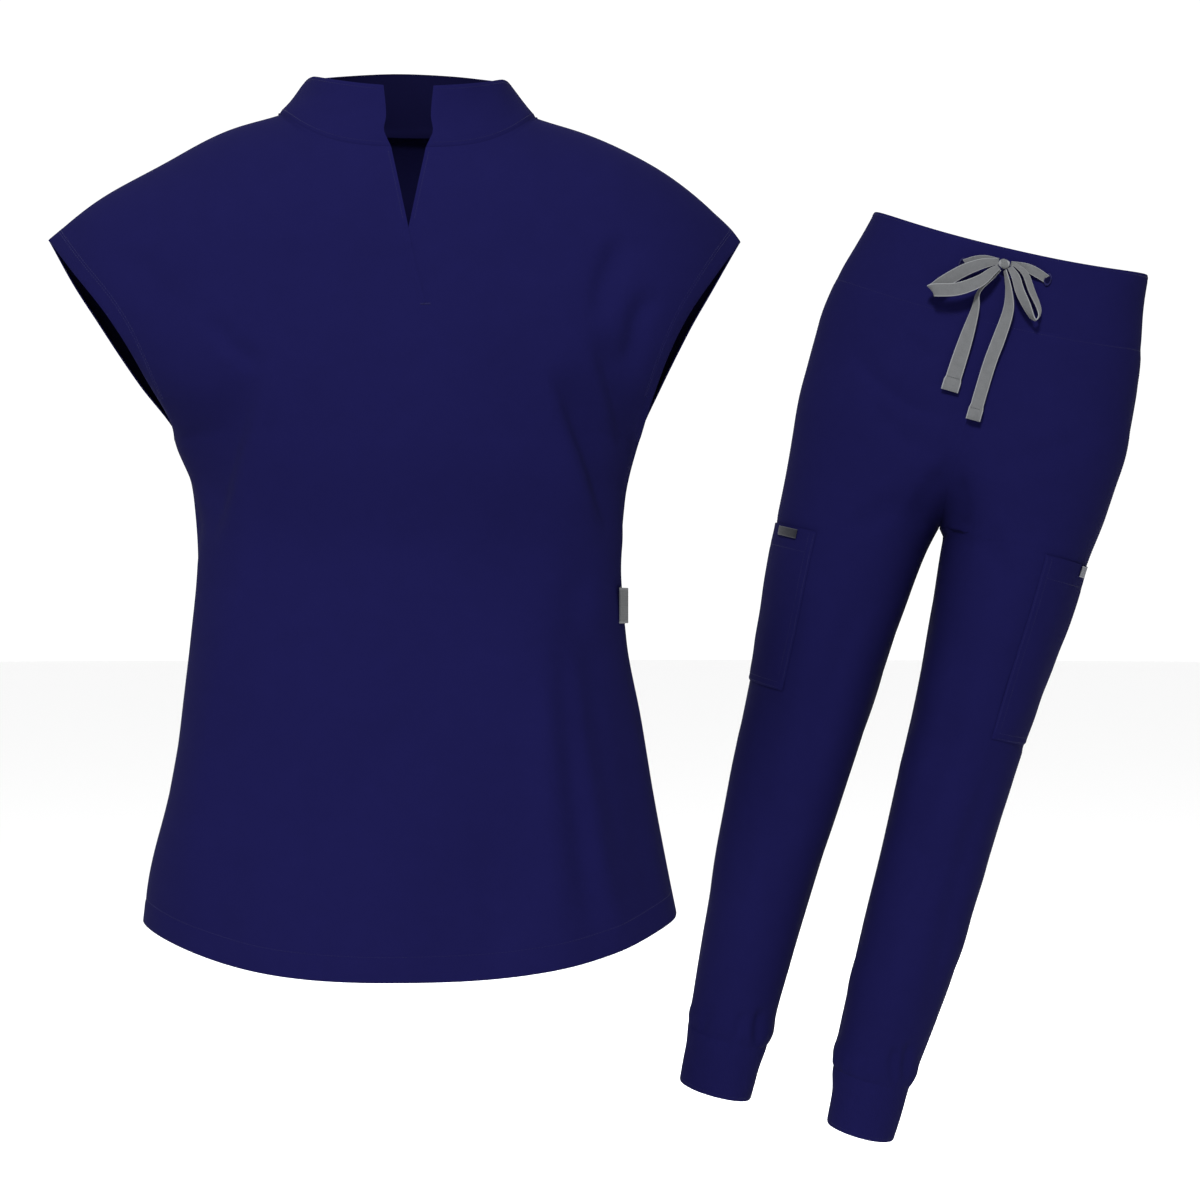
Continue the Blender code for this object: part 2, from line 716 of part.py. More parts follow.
def faceted_thigh_point(drop, turn, side, lift):
    """The same on the flats between the panel's columns."""
    step = math.pi / LEG_COLUMNS
    low = math.floor(turn / step) * step
    start, end = thigh_point(drop, low, side, lift), thigh_point(drop, low + step, side, lift)
    return start.lerp(end, (turn - low) / step)


def add_patch(name, side, levels, turns, lift, thick, cloth):
    """A patch on the outer thigh that follows it at a steady distance."""
    bm = bmesh.new()
    sheets = []
    for out in (lift + thick, lift):
        points = [[faceted_thigh_point(drop, turn, side, out) for turn in turns] for drop in levels]
        sheets.append([[bm.verts.new(co) for co in row] for row in points])
    rows, columns = len(levels), len(turns)
    for sheet in sheets:
        for i in range(rows - 1):
            for j in range(columns - 1):
                bm.faces.new((sheet[i][j], sheet[i][j + 1], sheet[i + 1][j + 1], sheet[i + 1][j]))
    rim = [(0, j) for j in range(columns)] + [(i, columns - 1) for i in range(1, rows)]
    rim += [(rows - 1, j) for j in range(columns - 2, -1, -1)] + [(i, 0) for i in range(rows - 2, 0, -1)]
    top, low = sheets
    for a, b in zip(rim, rim[1:] + rim[:1]):
        bm.faces.new((top[a[0]][a[1]], top[b[0]][b[1]], low[b[0]][b[1]], low[a[0]][a[1]]))
    return add_object(name, bm, cloth, trousers)


def add_pocket(name, side):
    mouth, foot = POCKET_DROP[side]
    turns = [POCKET_TURN * (2 * k / POCKET_COLUMNS - 1) for k in range(POCKET_COLUMNS + 1)]
    levels = drops(mouth, foot, POCKET_ROWS)
    return add_patch(name, side, levels, turns, POCKET_LIFT, CLOTH, "navy_twill")


def add_pocket_tab(name, side):
    drop, height, turn, length = POCKET_TAB[side]
    reach = length / smooth_row(TROUSERS_DEPTHS, drop, 1)
    turns = [-turn + reach * (k / TAB_COLUMNS - 0.5) for k in range(TAB_COLUMNS + 1)]
    lift = POCKET_LIFT + CLOTH + POCKET_TAB_LIFT
    levels = (drop - height / 2, drop + height / 2)
    return add_patch(name, side, levels, turns, lift, TAB_THICK, "tab_tape")


def band_front(x, drop):
    """The waist front's depth at x, below or on the band."""
    side = -1 if x < 0 else 1
    out = smooth_row(TROUSERS_OUT, drop, 1 if side < 0 else 2)
    deep = smooth_row(TROUSERS_DEPTHS, drop, 1)
    return deep * (1 - (abs(x) / out) ** HIP_POWER) ** (1 / HIP_POWER)


def smooth_route(rows, steps):
    """A Catmull-Rom curve through a table's rows, each column alike."""
    padded = [rows[0], *rows, rows[-1]]
    route = []
    for k in range(1, len(padded) - 2):
        a, b, c, d = padded[k - 1 : k + 3]
        for n in range(steps):
            s = n / steps
            point = []
            for p, q, r, w in zip(a, b, c, d):
                turn = (2 * p - 5 * q + 4 * r - w) * s * s + (3 * q - p - 3 * r + w) * s**3
                point.append(0.5 * (2 * q + (r - p) * s + turn))
            route.append(point)
    route.append(list(rows[-1]))
    return route


def tape_sections(rows, steps):
    """Centre, half-width and half-thickness vectors along a tape's route, in the trousers' own frame."""
    route = smooth_route(rows, steps)
    centres = [Vector((row[0], -(band_front(row[0], row[1]) + row[2]), -row[1])) for row in route]
    sections = []
    for k, (row, centre) in enumerate(zip(route, centres)):
        along = (centres[min(k + 1, len(centres) - 1)] - centres[max(k - 1, 0)]).normalized()
        lean, tilt = math.radians(row[4]), math.radians(row[5])
        across = Vector((math.cos(lean) * math.cos(tilt), -math.sin(tilt), math.sin(lean) * math.cos(tilt)))
        across = (across - along * across.dot(along)).normalized()
        through = along.cross(across)
        sections.append((centre, across * row[3] / 2, through * TAPE_THICK / 2))
    return sections


def add_tape(name, rows):
    """A flat tape along its route, with square ends."""
    bm = bmesh.new()
    rings = []
    for centre, half, thick in tape_sections(rows, TAPE_STEPS):
        corners = (half + thick, half - thick, -half - thick, -half + thick)
        rings.append([bm.verts.new(centre + corner) for corner in corners])
    for low, high in zip(rings, rings[1:]):
        for j in range(4):
            k = (j + 1) % 4
            bm.faces.new((low[j], low[k], high[k], high[j]))
    bm.faces.new(rings[0])
    bm.faces.new(rings[-1])
    return add_object(name, bm, "grey_tape", trousers)


def add_knot():
    """The bow's knot, a rounded lump."""
    bm = bmesh.new()
    bmesh.ops.create_uvsphere(bm, u_segments=12, v_segments=8, radius=1.0)
    x, drop, out = KNOT
    centre = Vector((x, -(band_front(x, drop) + out), -drop))
    for v in bm.verts:
        v.co = centre + Vector([v.co[axis] * KNOT_RADII[axis] for axis in range(3)])
    return add_object("tape_knot", bm, "grey_tape", trousers)


# ---- build ----

for old in list(bpy.data.objects):
    bpy.data.objects.remove(old, do_unlink=True)

parts = bpy.data.collections.new("medical_scrubs")
bpy.context.scene.collection.children.link(parts)

trousers = bpy.data.objects.new("trousers_place", None)
trousers.location = TROUSERS_PLACE
trousers.rotation_euler = Euler((0, TROUSERS_LEAN, TROUSERS_TURN), "XYZ")
parts.objects.link(trousers)

add_top_panel("top_front", -1)
add_top_panel("top_back", 1)
add_collar()
add_side_tab()
for side, word in ((-1, "left"), (1, "right")):
    add_trouser_panel(f"trousers_front_{word}", side, -1)
    add_trouser_panel(f"trousers_back_{word}", side, 1)
    add_cuff(f"cuff_{word}", side)
    add_pocket(f"cargo_pocket_{word}", side)
    add_pocket_tab(f"pocket_tab_{word}", side)
add_waistband()
add_knot()
for name, rows in TAPE.items():
    add_tape(name, rows)
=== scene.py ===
import math

import bmesh
import bpy
import numpy as np
from mathutils import Euler, Matrix, Vector


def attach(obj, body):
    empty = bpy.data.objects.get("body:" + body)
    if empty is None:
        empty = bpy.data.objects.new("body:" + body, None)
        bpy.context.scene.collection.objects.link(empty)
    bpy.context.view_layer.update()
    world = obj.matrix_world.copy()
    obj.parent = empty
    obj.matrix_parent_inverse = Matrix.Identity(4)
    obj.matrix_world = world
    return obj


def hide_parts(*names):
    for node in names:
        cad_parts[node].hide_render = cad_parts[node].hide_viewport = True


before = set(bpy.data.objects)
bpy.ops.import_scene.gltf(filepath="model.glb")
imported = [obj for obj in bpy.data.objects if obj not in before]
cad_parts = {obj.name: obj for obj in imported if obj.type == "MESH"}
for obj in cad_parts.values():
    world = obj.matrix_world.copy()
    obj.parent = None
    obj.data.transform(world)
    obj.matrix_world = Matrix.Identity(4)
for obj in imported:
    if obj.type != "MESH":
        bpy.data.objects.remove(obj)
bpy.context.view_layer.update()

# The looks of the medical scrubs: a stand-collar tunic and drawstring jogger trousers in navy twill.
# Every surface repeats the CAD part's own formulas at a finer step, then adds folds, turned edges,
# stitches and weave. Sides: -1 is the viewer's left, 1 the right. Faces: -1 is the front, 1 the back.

MM = 0.001

# ---- camera ----

CAMERA_PLACE = (0.0, -2.0, -0.394)
CAMERA_PAN = math.radians(4.49)  # towards +X
CAMERA_LENS, SENSOR = 73.17, 36.0

camera = bpy.data.objects.new("camera", bpy.data.cameras.new("camera"))
camera.location = CAMERA_PLACE
camera.rotation_euler = (math.pi / 2, 0, -CAMERA_PAN)
camera.data.lens = CAMERA_LENS
camera.data.sensor_width = SENSOR
bpy.context.scene.collection.objects.link(camera)
bpy.context.scene.camera = camera
bpy.context.scene.view_settings.view_transform = "Standard"

# ---- sizes, as in the part ----

CLOTH = 1.2 * MM
BAND_CLOTH = 1.8 * MM
SEAM_GAP = 0.3 * MM
SEAM_LINE = 0.01 * MM  # the fine line that a closed seam shows
FOLD_DEPTH = 1.9  # how deep the folds are for their tables' heights

TOP_SIDES = {
    # side: z, half-width from the hem corner up to the sleeve's tip
    -1: (
        (-0.6530, 0.2145), (-0.6210, 0.2089), (-0.5560, 0.1945), (-0.4910, 0.1832),
        (-0.4270, 0.1752), (-0.3620, 0.1704), (-0.3130, 0.1736), (-0.2640, 0.1865),
        (-0.2160, 0.2185), (-0.1670, 0.2505), (-0.1350, 0.2720), (-0.1032, 0.2904),
    ),
    1: (
        (-0.6530, 0.2207), (-0.6210, 0.2141), (-0.5560, 0.2017), (-0.4910, 0.1909),
        (-0.4270, 0.1790), (-0.3620, 0.1744), (-0.3130, 0.1777), (-0.2640, 0.1893),
        (-0.2160, 0.2090), (-0.1670, 0.2330), (-0.1350, 0.2520), (-0.0982, 0.2739),
    ),
}
TOP_DEPTHS = (
    # z, front, back
    (-0.690, 0.130, 0.132), (-0.560, 0.119, 0.122), (-0.450, 0.109, 0.108),
    (-0.360, 0.106, 0.099), (-0.270, 0.124, 0.107), (-0.200, 0.127, 0.114),
    (-0.120, 0.117, 0.112), (-0.050, 0.104, 0.102), (0.040, 0.098, 0.098),
)
SHOULDER_LINE = {
    # side: half-width, z from the neck out to the sleeve's tip
    -1: (
        (0.1055, 0.0000), (0.1414, -0.0125), (0.1945, -0.0400),
        (0.2425, -0.0669), (0.2785, -0.0932), (0.2904, -0.1032),
    ),
    1: (
        (0.1055, 0.0000), (0.1414, -0.0105), (0.1926, -0.0352),
        (0.2340, -0.0610), (0.2656, -0.0876), (0.2739, -0.0982),
    ),
}
UNDERARM_Z = -0.264
NECK_HALF = 0.1055
NECK_FRONT_DROP, NECK_CURVE = 0.041, 3.2
NECK_BACK_RISE = 0.002
NOTCH_HALF = 0.0135
SLIT_APEX_Z = -0.1072
HEM_CENTRE_Z, HEM_SIDE_Z, HEM_POWER = -0.687, -0.653, 2.6
RIDGE_ROUND = 0.10
RIDGE_PEAK = {-1: (0.020, 1.0), 1: (0.045, 1.5)}
TORSO_POWER = 2.3
SLEEVE_OPEN, SHOULDER_WIDEN = 0.09, 0.35
ARMHOLE_CUT = {-1: {-1: -0.012, 1: -0.010}, 1: {-1: 0.005, 1: 0.004}}
UNDERARM_ROW, APEX_ROW, NECK_COLUMN = 0.67, 0.89, 0.62

COLLAR_TOP_HALF = 0.0822
COLLAR_TOP = {-1: (0.086, 0.0085), 1: (0.084, 0.0535)}
COLLAR_TOP_SIDE_Z = 0.0325
COLLAR_BELLY, COLLAR_RISE_POWER = 8.0 * MM, 1.4
COLLAR_ENDS = (
    # height up the collar, half the opening: a rounded lower corner, then a straight edge
    (0.00, 0.0140), (0.10, 0.0165), (0.27, 0.0196), (0.50, 0.0180), (1.00, 0.0196),
)

SIDE_TAB_PATH = ((0.1779, -0.0008), (0.1812, -0.0050), (0.1794, -0.0165), (0.1752, -0.0285))
SIDE_TAB_Z = (-0.4130, -0.3840)
TAB_THICK = 1.0 * MM

TROUSERS_PLACE = (0.6015, 0.3993, -0.0395)
TROUSERS_LEAN = math.radians(14.3)
TROUSERS_TURN = math.radians(-12.5)
TROUSERS_OUT = (
    # drop, left, right half-width
    (0.000, 0.1415, 0.1375), (0.036, 0.1510, 0.1418), (0.072, 0.1606, 0.1481),
    (0.120, 0.1678, 0.1561), (0.180, 0.1688, 0.1594), (0.240, 0.1648, 0.1566),
    (0.292, 0.1615, 0.1502), (0.340, 0.1582, 0.1468), (0.440, 0.1492, 0.1367),
    (0.560, 0.1426, 0.1312), (0.680, 0.1343, 0.1262), (0.760, 0.1284, 0.1205),
    (0.820, 0.1229, 0.1138), (0.846, 0.1205, 0.1100), (0.860, 0.1180, 0.1095),
    (0.900, 0.1150, 0.1074),
)
TROUSERS_IN = (
    # drop, left, right inner edge
    (0.292, 0.0004, 0.0004), (0.300, 0.0026, 0.0060), (0.320, 0.0072, 0.0076),
    (0.360, 0.0126, 0.0116), (0.440, 0.0180, 0.0188), (0.520, 0.0233, 0.0209),
    (0.640, 0.0313, 0.0243), (0.760, 0.0360, 0.0262), (0.846, 0.0382, 0.0315),
    (0.870, 0.0402, 0.0366), (0.900, 0.0408, 0.0390),
)
TROUSERS_DEPTHS = (
    # drop, front, back
    (0.000, 0.088, 0.094), (0.072, 0.096, 0.106), (0.180, 0.100, 0.126),
    (0.260, 0.092, 0.122), (0.292, 0.089, 0.114), (0.400, 0.078, 0.088),
    (0.560, 0.062, 0.068), (0.700, 0.052, 0.062), (0.800, 0.045, 0.052),
    (0.846, 0.040, 0.043), (0.900, 0.038, 0.038),
)
HIP_POWER, LEG_POWER = 2.35, 2.05
WAIST_BAND, WAIST_DIP, DIP_FADE = 0.072, 0.016, 0.12
RISE_CURVE, CROTCH, CROTCH_SLOPE = 0.130, 0.292, 0.27
CUFF_SEAM, CUFF_END = 0.842, 0.899

POCKET_DROP = {-1: (0.326, 0.486), 1: (0.2935, 0.480)}
POCKET_TURN = math.radians(67.5)
POCKET_TAB = {
    # side: drop, height, turn from the outer seam, length round the thigh
    -1: (0.3325, 0.009, math.radians(40), 0.0340),
    1: (0.3000, 0.0110, math.radians(22), 0.0150),
}
POCKET_LIFT, POCKET_TAB_LIFT = 0.5 * MM, 0.7 * MM

KNOT = (-0.0015, 0.0335, 0.0085)
KNOT_RADII = (0.0060, 0.0050, 0.0058)
TAPE = {
    # x, drop, distance out from the band, width, angle of the width and its tilt in degrees
    "tape_exit_left": (
        (-0.0400, 0.0410, -0.0004, 0.0080, 107, 0), (-0.0300, 0.0360, 0.0030, 0.0090, 110, 0),
        (-0.0200, 0.0325, 0.0040, 0.0080, 100, 0), (-0.0074, 0.0315, 0.0065, 0.0050, 92, 0),
    ),
    "tape_exit_right": (
        (0.0415, 0.0370, -0.0004, 0.0080, 75, 0), (0.0300, 0.0335, 0.0030, 0.0090, 75, 0),
        (0.0190, 0.0312, 0.0040, 0.0080, 78, 0), (0.0043, 0.0315, 0.0065, 0.0050, 85, 0),
    ),
    "tape_loop_left": (
        (-0.0081, 0.0325, 0.0105, 0.0060, -60, 0), (-0.0220, 0.0385, 0.0120, 0.0100, -56, 0),
        (-0.0370, 0.0485, 0.0125, 0.0120, -52, 0), (-0.0520, 0.0625, 0.0125, 0.0125, -44, 0),
        (-0.0600, 0.0720, 0.0135, 0.0125, -36, 0), (-0.0625, 0.0745, 0.0165, 0.0125, -34, 0),
        (-0.0590, 0.0740, 0.0195, 0.0125, -38, 0), (-0.0385, 0.0685, 0.0200, 0.0125, -60, 0),
        (-0.0205, 0.0565, 0.0185, 0.0115, -50, 0), (-0.0110, 0.0440, 0.0150, 0.0080, -40, 0),
        (-0.0062, 0.0380, 0.0115, 0.0050, -40, 0),
    ),
    "tape_loop_right": (
        (0.0045, 0.0357, 0.0105, 0.0050, 31, 0), (0.0120, 0.0440, 0.0135, 0.0080, 31, 10),
        (0.0190, 0.0560, 0.0145, 0.0090, 33, 20), (0.0285, 0.0680, 0.0140, 0.0090, 38, 35),
        (0.0365, 0.0775, 0.0125, 0.0080, 45, 65), (0.0405, 0.0790, 0.0115, 0.0070, 50, 90),
        (0.0425, 0.0740, 0.0105, 0.0070, 55, 110), (0.0400, 0.0665, 0.0100, 0.0070, 50, 130),
        (0.0300, 0.0530, 0.0095, 0.0080, 38, 140), (0.0205, 0.0390, 0.0095, 0.0070, 30, 150),
        (0.0110, 0.0330, 0.0095, 0.0050, 30, 160), (0.0055, 0.0318, 0.0098, 0.0040, 30, 165),
    ),
    "tape_tail_left": (
        (-0.0048, 0.0392, 0.0075, 0.0045, -25, 20), (-0.0110, 0.0500, 0.0060, 0.0055, -25, 35),
        (-0.0170, 0.0610, 0.0055, 0.0050, -15, 55), (-0.0190, 0.0690, 0.0060, 0.0060, 0, 50),
        (-0.0178, 0.0820, 0.0065, 0.0090, 0, 35), (-0.0190, 0.1080, 0.0065, 0.0130, 0, 12),
        (-0.0208, 0.1370, 0.0055, 0.0150, 0, 3), (-0.0222, 0.1640, 0.0045, 0.0150, 0, 0),
    ),
    "tape_tail_right": (
        (0.0006, 0.0394, 0.0095, 0.0045, 0, 60), (0.0085, 0.0570, 0.0100, 0.0080, 10, 45),
        (0.0130, 0.0765, 0.0085, 0.0110, 0, 20), (0.0112, 0.1035, 0.0065, 0.0125, 0, 8),
        (0.0086, 0.1270, 0.0055, 0.0125, 0, 4), (0.0072, 0.1560, 0.0048, 0.0125, 0, 0),
        (0.0064, 0.1860, 0.0045, 0.0125, 0, 0),
    ),
}

# ---- folds, in each garment's own flat sizes ----
# Each row: start across, start up, end across, end up, sideways bow, soft width on the left of its
# run, on the right, and height out of the cloth (negative is a trough). All in metres.

TOP_FRONT_FOLDS = (
    # left underarm: a drape that falls from the sleeve, with a crease along its inner edge
    (-0.113, -0.214, -0.163, -0.352, -0.004, 0.011, 0.030, -0.0040),
    (-0.100, -0.205, -0.146, -0.345, -0.004, 0.014, 0.010, 0.0010),
    (-0.156, -0.176, -0.112, -0.216, -0.003, 0.012, 0.007, -0.0018),
    (-0.178, -0.250, -0.172, -0.330, -0.003, 0.010, 0.010, 0.0020),
    # right bust: the sharp fold from the chest down to the waist, one above it, one in the sleeve
    (0.116, -0.218, 0.163, -0.338, 0.003, 0.032, 0.009, -0.0046),
    (0.104, -0.214, 0.146, -0.330, 0.003, 0.010, 0.016, 0.0010),
    (0.146, -0.190, 0.180, -0.278, 0.003, 0.018, 0.008, -0.0034),
    (0.172, -0.107, 0.146, -0.176, -0.004, 0.014, 0.010, -0.0022),
    (0.190, -0.150, 0.176, -0.215, -0.004, 0.010, 0.010, -0.0026),
    # chest and shoulders
    (-0.060, -0.110, -0.125, -0.215, 0.006, 0.026, 0.022, -0.0010),
    (0.070, -0.120, 0.120, -0.205, -0.006, 0.024, 0.022, -0.0012),
    (-0.235, -0.120, -0.170, -0.176, 0.004, 0.014, 0.016, -0.0016),
    # long soft drags through the body
    (-0.098, -0.280, -0.176, -0.640, -0.014, 0.010, 0.018, 0.0012),
    (0.098, -0.300, 0.072, -0.395, 0.004, 0.044, 0.030, -0.0012),
    (0.072, -0.395, 0.020, -0.470, 0.006, 0.044, 0.030, -0.0014),
    (0.014, -0.475, -0.150, -0.625, 0.012, 0.036, 0.026, -0.0018),
    # the right side hangs in upright ripples towards the hem
    (0.140, -0.345, 0.196, -0.665, -0.008, 0.024, 0.020, -0.0040),
    (0.122, -0.400, 0.148, -0.668, -0.006, 0.014, 0.012, -0.0018),
    (0.134, -0.420, 0.166, -0.668, -0.006, 0.010, 0.010, 0.0008),
    (0.110, -0.440, 0.118, -0.676, -0.004, 0.016, 0.014, 0.0020),
    (0.176, -0.440, 0.206, -0.655, -0.004, 0.012, 0.012, -0.0018),
    # the hem's centre comes forward a little
    (-0.010, -0.600, -0.016, -0.690, 0.003, 0.030, 0.030, 0.0014),
    (-0.130, -0.590, -0.150, -0.668, -0.003, 0.018, 0.016, -0.0016),
    (0.060, -0.560, 0.066, -0.684, 0.004, 0.022, 0.018, -0.0014),
)
TOP_BACK_FOLDS = (
    (-0.160, -0.215, -0.150, -0.395, 0.006, 0.018, 0.022, -0.0036),
    (0.150, -0.225, 0.162, -0.380, -0.005, 0.016, 0.020, -0.0040),
    (-0.060, -0.300, -0.120, -0.560, 0.012, 0.022, 0.026, -0.0022),
    (0.040, -0.270, 0.110, -0.520, -0.012, 0.024, 0.022, -0.0020),
    (-0.010, -0.360, -0.026, -0.660, 0.008, 0.022, 0.030, 0.0020),
    (0.130, -0.460, 0.170, -0.660, 0.006, 0.020, 0.022, -0.0030),
    (-0.130, -0.480, -0.170, -0.655, -0.008, 0.020, 0.018, -0.0024),
    (-0.110, -0.060, -0.200, -0.150, 0.006, 0.020, 0.020, -0.0014),
    (0.120, -0.070, 0.190, -0.160, -0.006, 0.020, 0.022, -0.0014),
    (0.070, -0.560, 0.074, -0.684, 0.003, 0.020, 0.018, -0.0014),
)
TROUSERS_FRONT_FOLDS = (
    # drag lines from the hip towards the crotch, and the soft hollows about it
    (-0.118, 0.146, -0.030, 0.190, 0.010, 0.008, 0.014, -0.0022),
    (-0.074, 0.106, -0.044, 0.128, 0.004, 0.007, 0.010, -0.0014),
    (-0.100, 0.180, -0.020, 0.226, 0.010, 0.012, 0.012, -0.0012),
    (0.120, 0.165, 0.030, 0.225, -0.008, 0.012, 0.014, -0.0012),
    (0.008, 0.170, 0.004, 0.250, 0.002, 0.012, 0.012, -0.0010),
    (-0.006, 0.236, -0.026, 0.300, 0.004, 0.010, 0.012, -0.0016),
    (0.004, 0.240, 0.020, 0.300, -0.004, 0.012, 0.010, -0.0016),
    (-0.040, 0.270, -0.086, 0.318, -0.004, 0.012, 0.012, -0.0014),
    (0.040, 0.280, 0.090, 0.330, 0.004, 0.012, 0.012, -0.0012),
    # legs: long soft creases, the knees, and the fullness over the cuffs
    (-0.050, 0.360, -0.060, 0.560, 0.008, 0.016, 0.014, -0.0016),
    (-0.120, 0.470, -0.112, 0.700, -0.006, 0.014, 0.016, -0.0016),
    (0.110, 0.480, 0.112, 0.790, 0.006, 0.012, 0.010, -0.0022),
    (0.052, 0.380, 0.046, 0.600, -0.006, 0.014, 0.014, -0.0014),
    (-0.110, 0.590, -0.056, 0.622, 0.006, 0.012, 0.014, -0.0012),
    (0.040, 0.600, 0.100, 0.632, -0.006, 0.012, 0.014, -0.0014),
    (-0.086, 0.640, -0.070, 0.800, 0.004, 0.014, 0.016, 0.0012),
    (0.062, 0.650, 0.074, 0.800, -0.004, 0.016, 0.014, 0.0014),
    (-0.052, 0.800, -0.050, 0.838, 0.001, 0.004, 0.006, -0.0020),
    (-0.066, 0.806, -0.068, 0.838, 0.001, 0.006, 0.005, -0.0014),
    (-0.100, 0.810, -0.104, 0.838, 0.001, 0.006, 0.006, -0.0010),
    (0.086, 0.800, 0.092, 0.838, 0.001, 0.005, 0.006, -0.0018),
    (0.100, 0.792, 0.104, 0.838, 0.001, 0.005, 0.005, -0.0020),
    (0.060, 0.812, 0.058, 0.838, 0.001, 0.006, 0.006, -0.0010),
)
TROUSERS_BACK_FOLDS = (
    (-0.090, 0.150, -0.020, 0.240, 0.012, 0.016, 0.018, -0.0020),
    (0.090, 0.160, 0.016, 0.246, -0.012, 0.016, 0.018, -0.0022),
    (-0.020, 0.270, -0.110, 0.318, -0.010, 0.012, 0.016, -0.0030),
    (0.020, 0.272, 0.104, 0.314, 0.010, 0.012, 0.016, -0.0028),
    (-0.030, 0.310, -0.096, 0.356, -0.008, 0.010, 0.014, -0.0018),
    (0.034, 0.312, 0.098, 0.352, 0.008, 0.010, 0.014, -0.0018),
    (-0.070, 0.380, -0.084, 0.560, 0.006, 0.016, 0.014, -0.0014),
    (0.068, 0.390, 0.080, 0.570, -0.006, 0.016, 0.014, -0.0014),
    (-0.112, 0.560, -0.052, 0.596, 0.006, 0.010, 0.014, -0.0024),
    (0.040, 0.566, 0.106, 0.590, -0.006, 0.010, 0.014, -0.0024),
    (-0.104, 0.600, -0.056, 0.630, 0.004, 0.010, 0.012, -0.0016),
    (0.044, 0.604, 0.100, 0.636, -0.004, 0.010, 0.012, -0.0016),
    (-0.080, 0.650, -0.078, 0.800, 0.004, 0.014, 0.016, 0.0014),
    (0.072, 0.650, 0.070, 0.800, -0.004, 0.014, 0.016, 0.0014),
    (-0.060, 0.804, -0.060, 0.838, 0.001, 0.006, 0.006, -0.0014),
    (-0.090, 0.800, -0.092, 0.838, 0.001, 0.006, 0.006, -0.0016),
    (0.060, 0.804, 0.060, 0.838, 0.001, 0.006, 0.006, -0.0014),
    (0.094, 0.800, 0.092, 0.838, 0.001, 0.006, 0.006, -0.0016),
)

# ---- numbers ----


def smooth_row(table, at, column):
    """Reads a column of a table at a place between its rows, along a smooth monotone curve."""
    rows = sorted(table)
    at = min(max(at, rows[0][0]), rows[-1][0])
    k = max(i for i in range(len(rows) - 1) if rows[i][0] <= at)

    def slope(i):
        if i <= 0 or i >= len(rows) - 1:
            return None
        before = (rows[i][column] - rows[i - 1][column]) / (rows[i][0] - rows[i - 1][0])
        after = (rows[i + 1][column] - rows[i][column]) / (rows[i + 1][0] - rows[i][0])
        return 0.0 if before * after <= 0 else 2 * before * after / (before + after)

    width = rows[k + 1][0] - rows[k][0]
    chord = (rows[k + 1][column] - rows[k][column]) / width
    start, end = slope(k), slope(k + 1)
    start = chord if start is None else start
    end = chord if end is None else end
    s = (at - rows[k][0]) / width
    low, high = rows[k][column], rows[k + 1][column]
    return (
        low * (1 + 2 * s) * (1 - s) ** 2
        + high * s * s * (3 - 2 * s)
        + start * width * s * (1 - s) ** 2
        - end * width * s * s * (1 - s)
    )


def signed_power(value, power):
    return math.copysign(abs(value) ** power, value)


def clamp(value, low=0.0, high=1.0):
    return min(max(value, low), high)


def ease(value):
    """A smooth step from 0 to 1, for arrays and numbers."""
    value = np.clip(value, 0.0, 1.0)
    return value * value * (3 - 2 * value)


def spread(count, power=1.0):
    return [(k / count) ** power for k in range(count + 1)]


# ---- the part's surfaces ----


def side_half(z, side):
    return smooth_row(TOP_SIDES[side], z, 1)


def neck_z(x, face):
    share = abs(x) / NECK_HALF
    return -NECK_FRONT_DROP * (1 - share**NECK_CURVE) if face < 0 else NECK_BACK_RISE * (1 - share**2)


def ridge(x, side, face):
    if abs(x) >= NECK_HALF:
        return smooth_row(SHOULDER_LINE[side], abs(x), 1)
    peak, power = RIDGE_PEAK[face]
    return peak * (1 - (x / NECK_HALF) ** 2) ** power


def top_depth(x, z, side, face):
    """How far the front or back stands from the centre plane."""
    tip_z = TOP_SIDES[side][-1][0]
    lift = clamp((z - UNDERARM_Z) / (tip_z - UNDERARM_Z))
    half = side_half(z, side) * (1 + SLEEVE_OPEN * math.sin(math.pi * lift))
    half += SHOULDER_WIDEN * max(0.0, z - tip_z)
    share = max(0.0, 1 - (abs(x) / half) ** TORSO_POWER) ** 0.5
    fall = clamp((ridge(x, side, face) - z) / RIDGE_ROUND)
    rounding = math.sqrt(max(0.0, 1 - (1 - fall) ** 2))
    return smooth_row(TOP_DEPTHS, z, 1 if face < 0 else 2) * share * rounding


def top_side_edge(t, side, face):
    if t <= UNDERARM_ROW:
        z = HEM_SIDE_Z + (UNDERARM_Z - HEM_SIDE_Z) * t / UNDERARM_ROW
        return side * side_half(z, side), z
    up = (t - UNDERARM_ROW) / (1 - UNDERARM_ROW)
    z = UNDERARM_Z + (TOP_SIDES[side][-1][0] - UNDERARM_Z) * up
    return side * (side_half(z, side) + ARMHOLE_CUT[face][side] * math.sin(math.pi * up)), z


def top_centre_edge(t, side, face):
    if face > 0:
        return 0.0, HEM_CENTRE_Z + (NECK_BACK_RISE - HEM_CENTRE_Z) * t
    if t <= APEX_ROW:
        return 0.0, HEM_CENTRE_Z + (SLIT_APEX_Z - HEM_CENTRE_Z) * t / APEX_ROW
    up = (t - APEX_ROW) / (1 - APEX_ROW)
    top = neck_z(NOTCH_HALF, face)
    return side * NOTCH_HALF * up, SLIT_APEX_Z + (top - SLIT_APEX_Z) * up


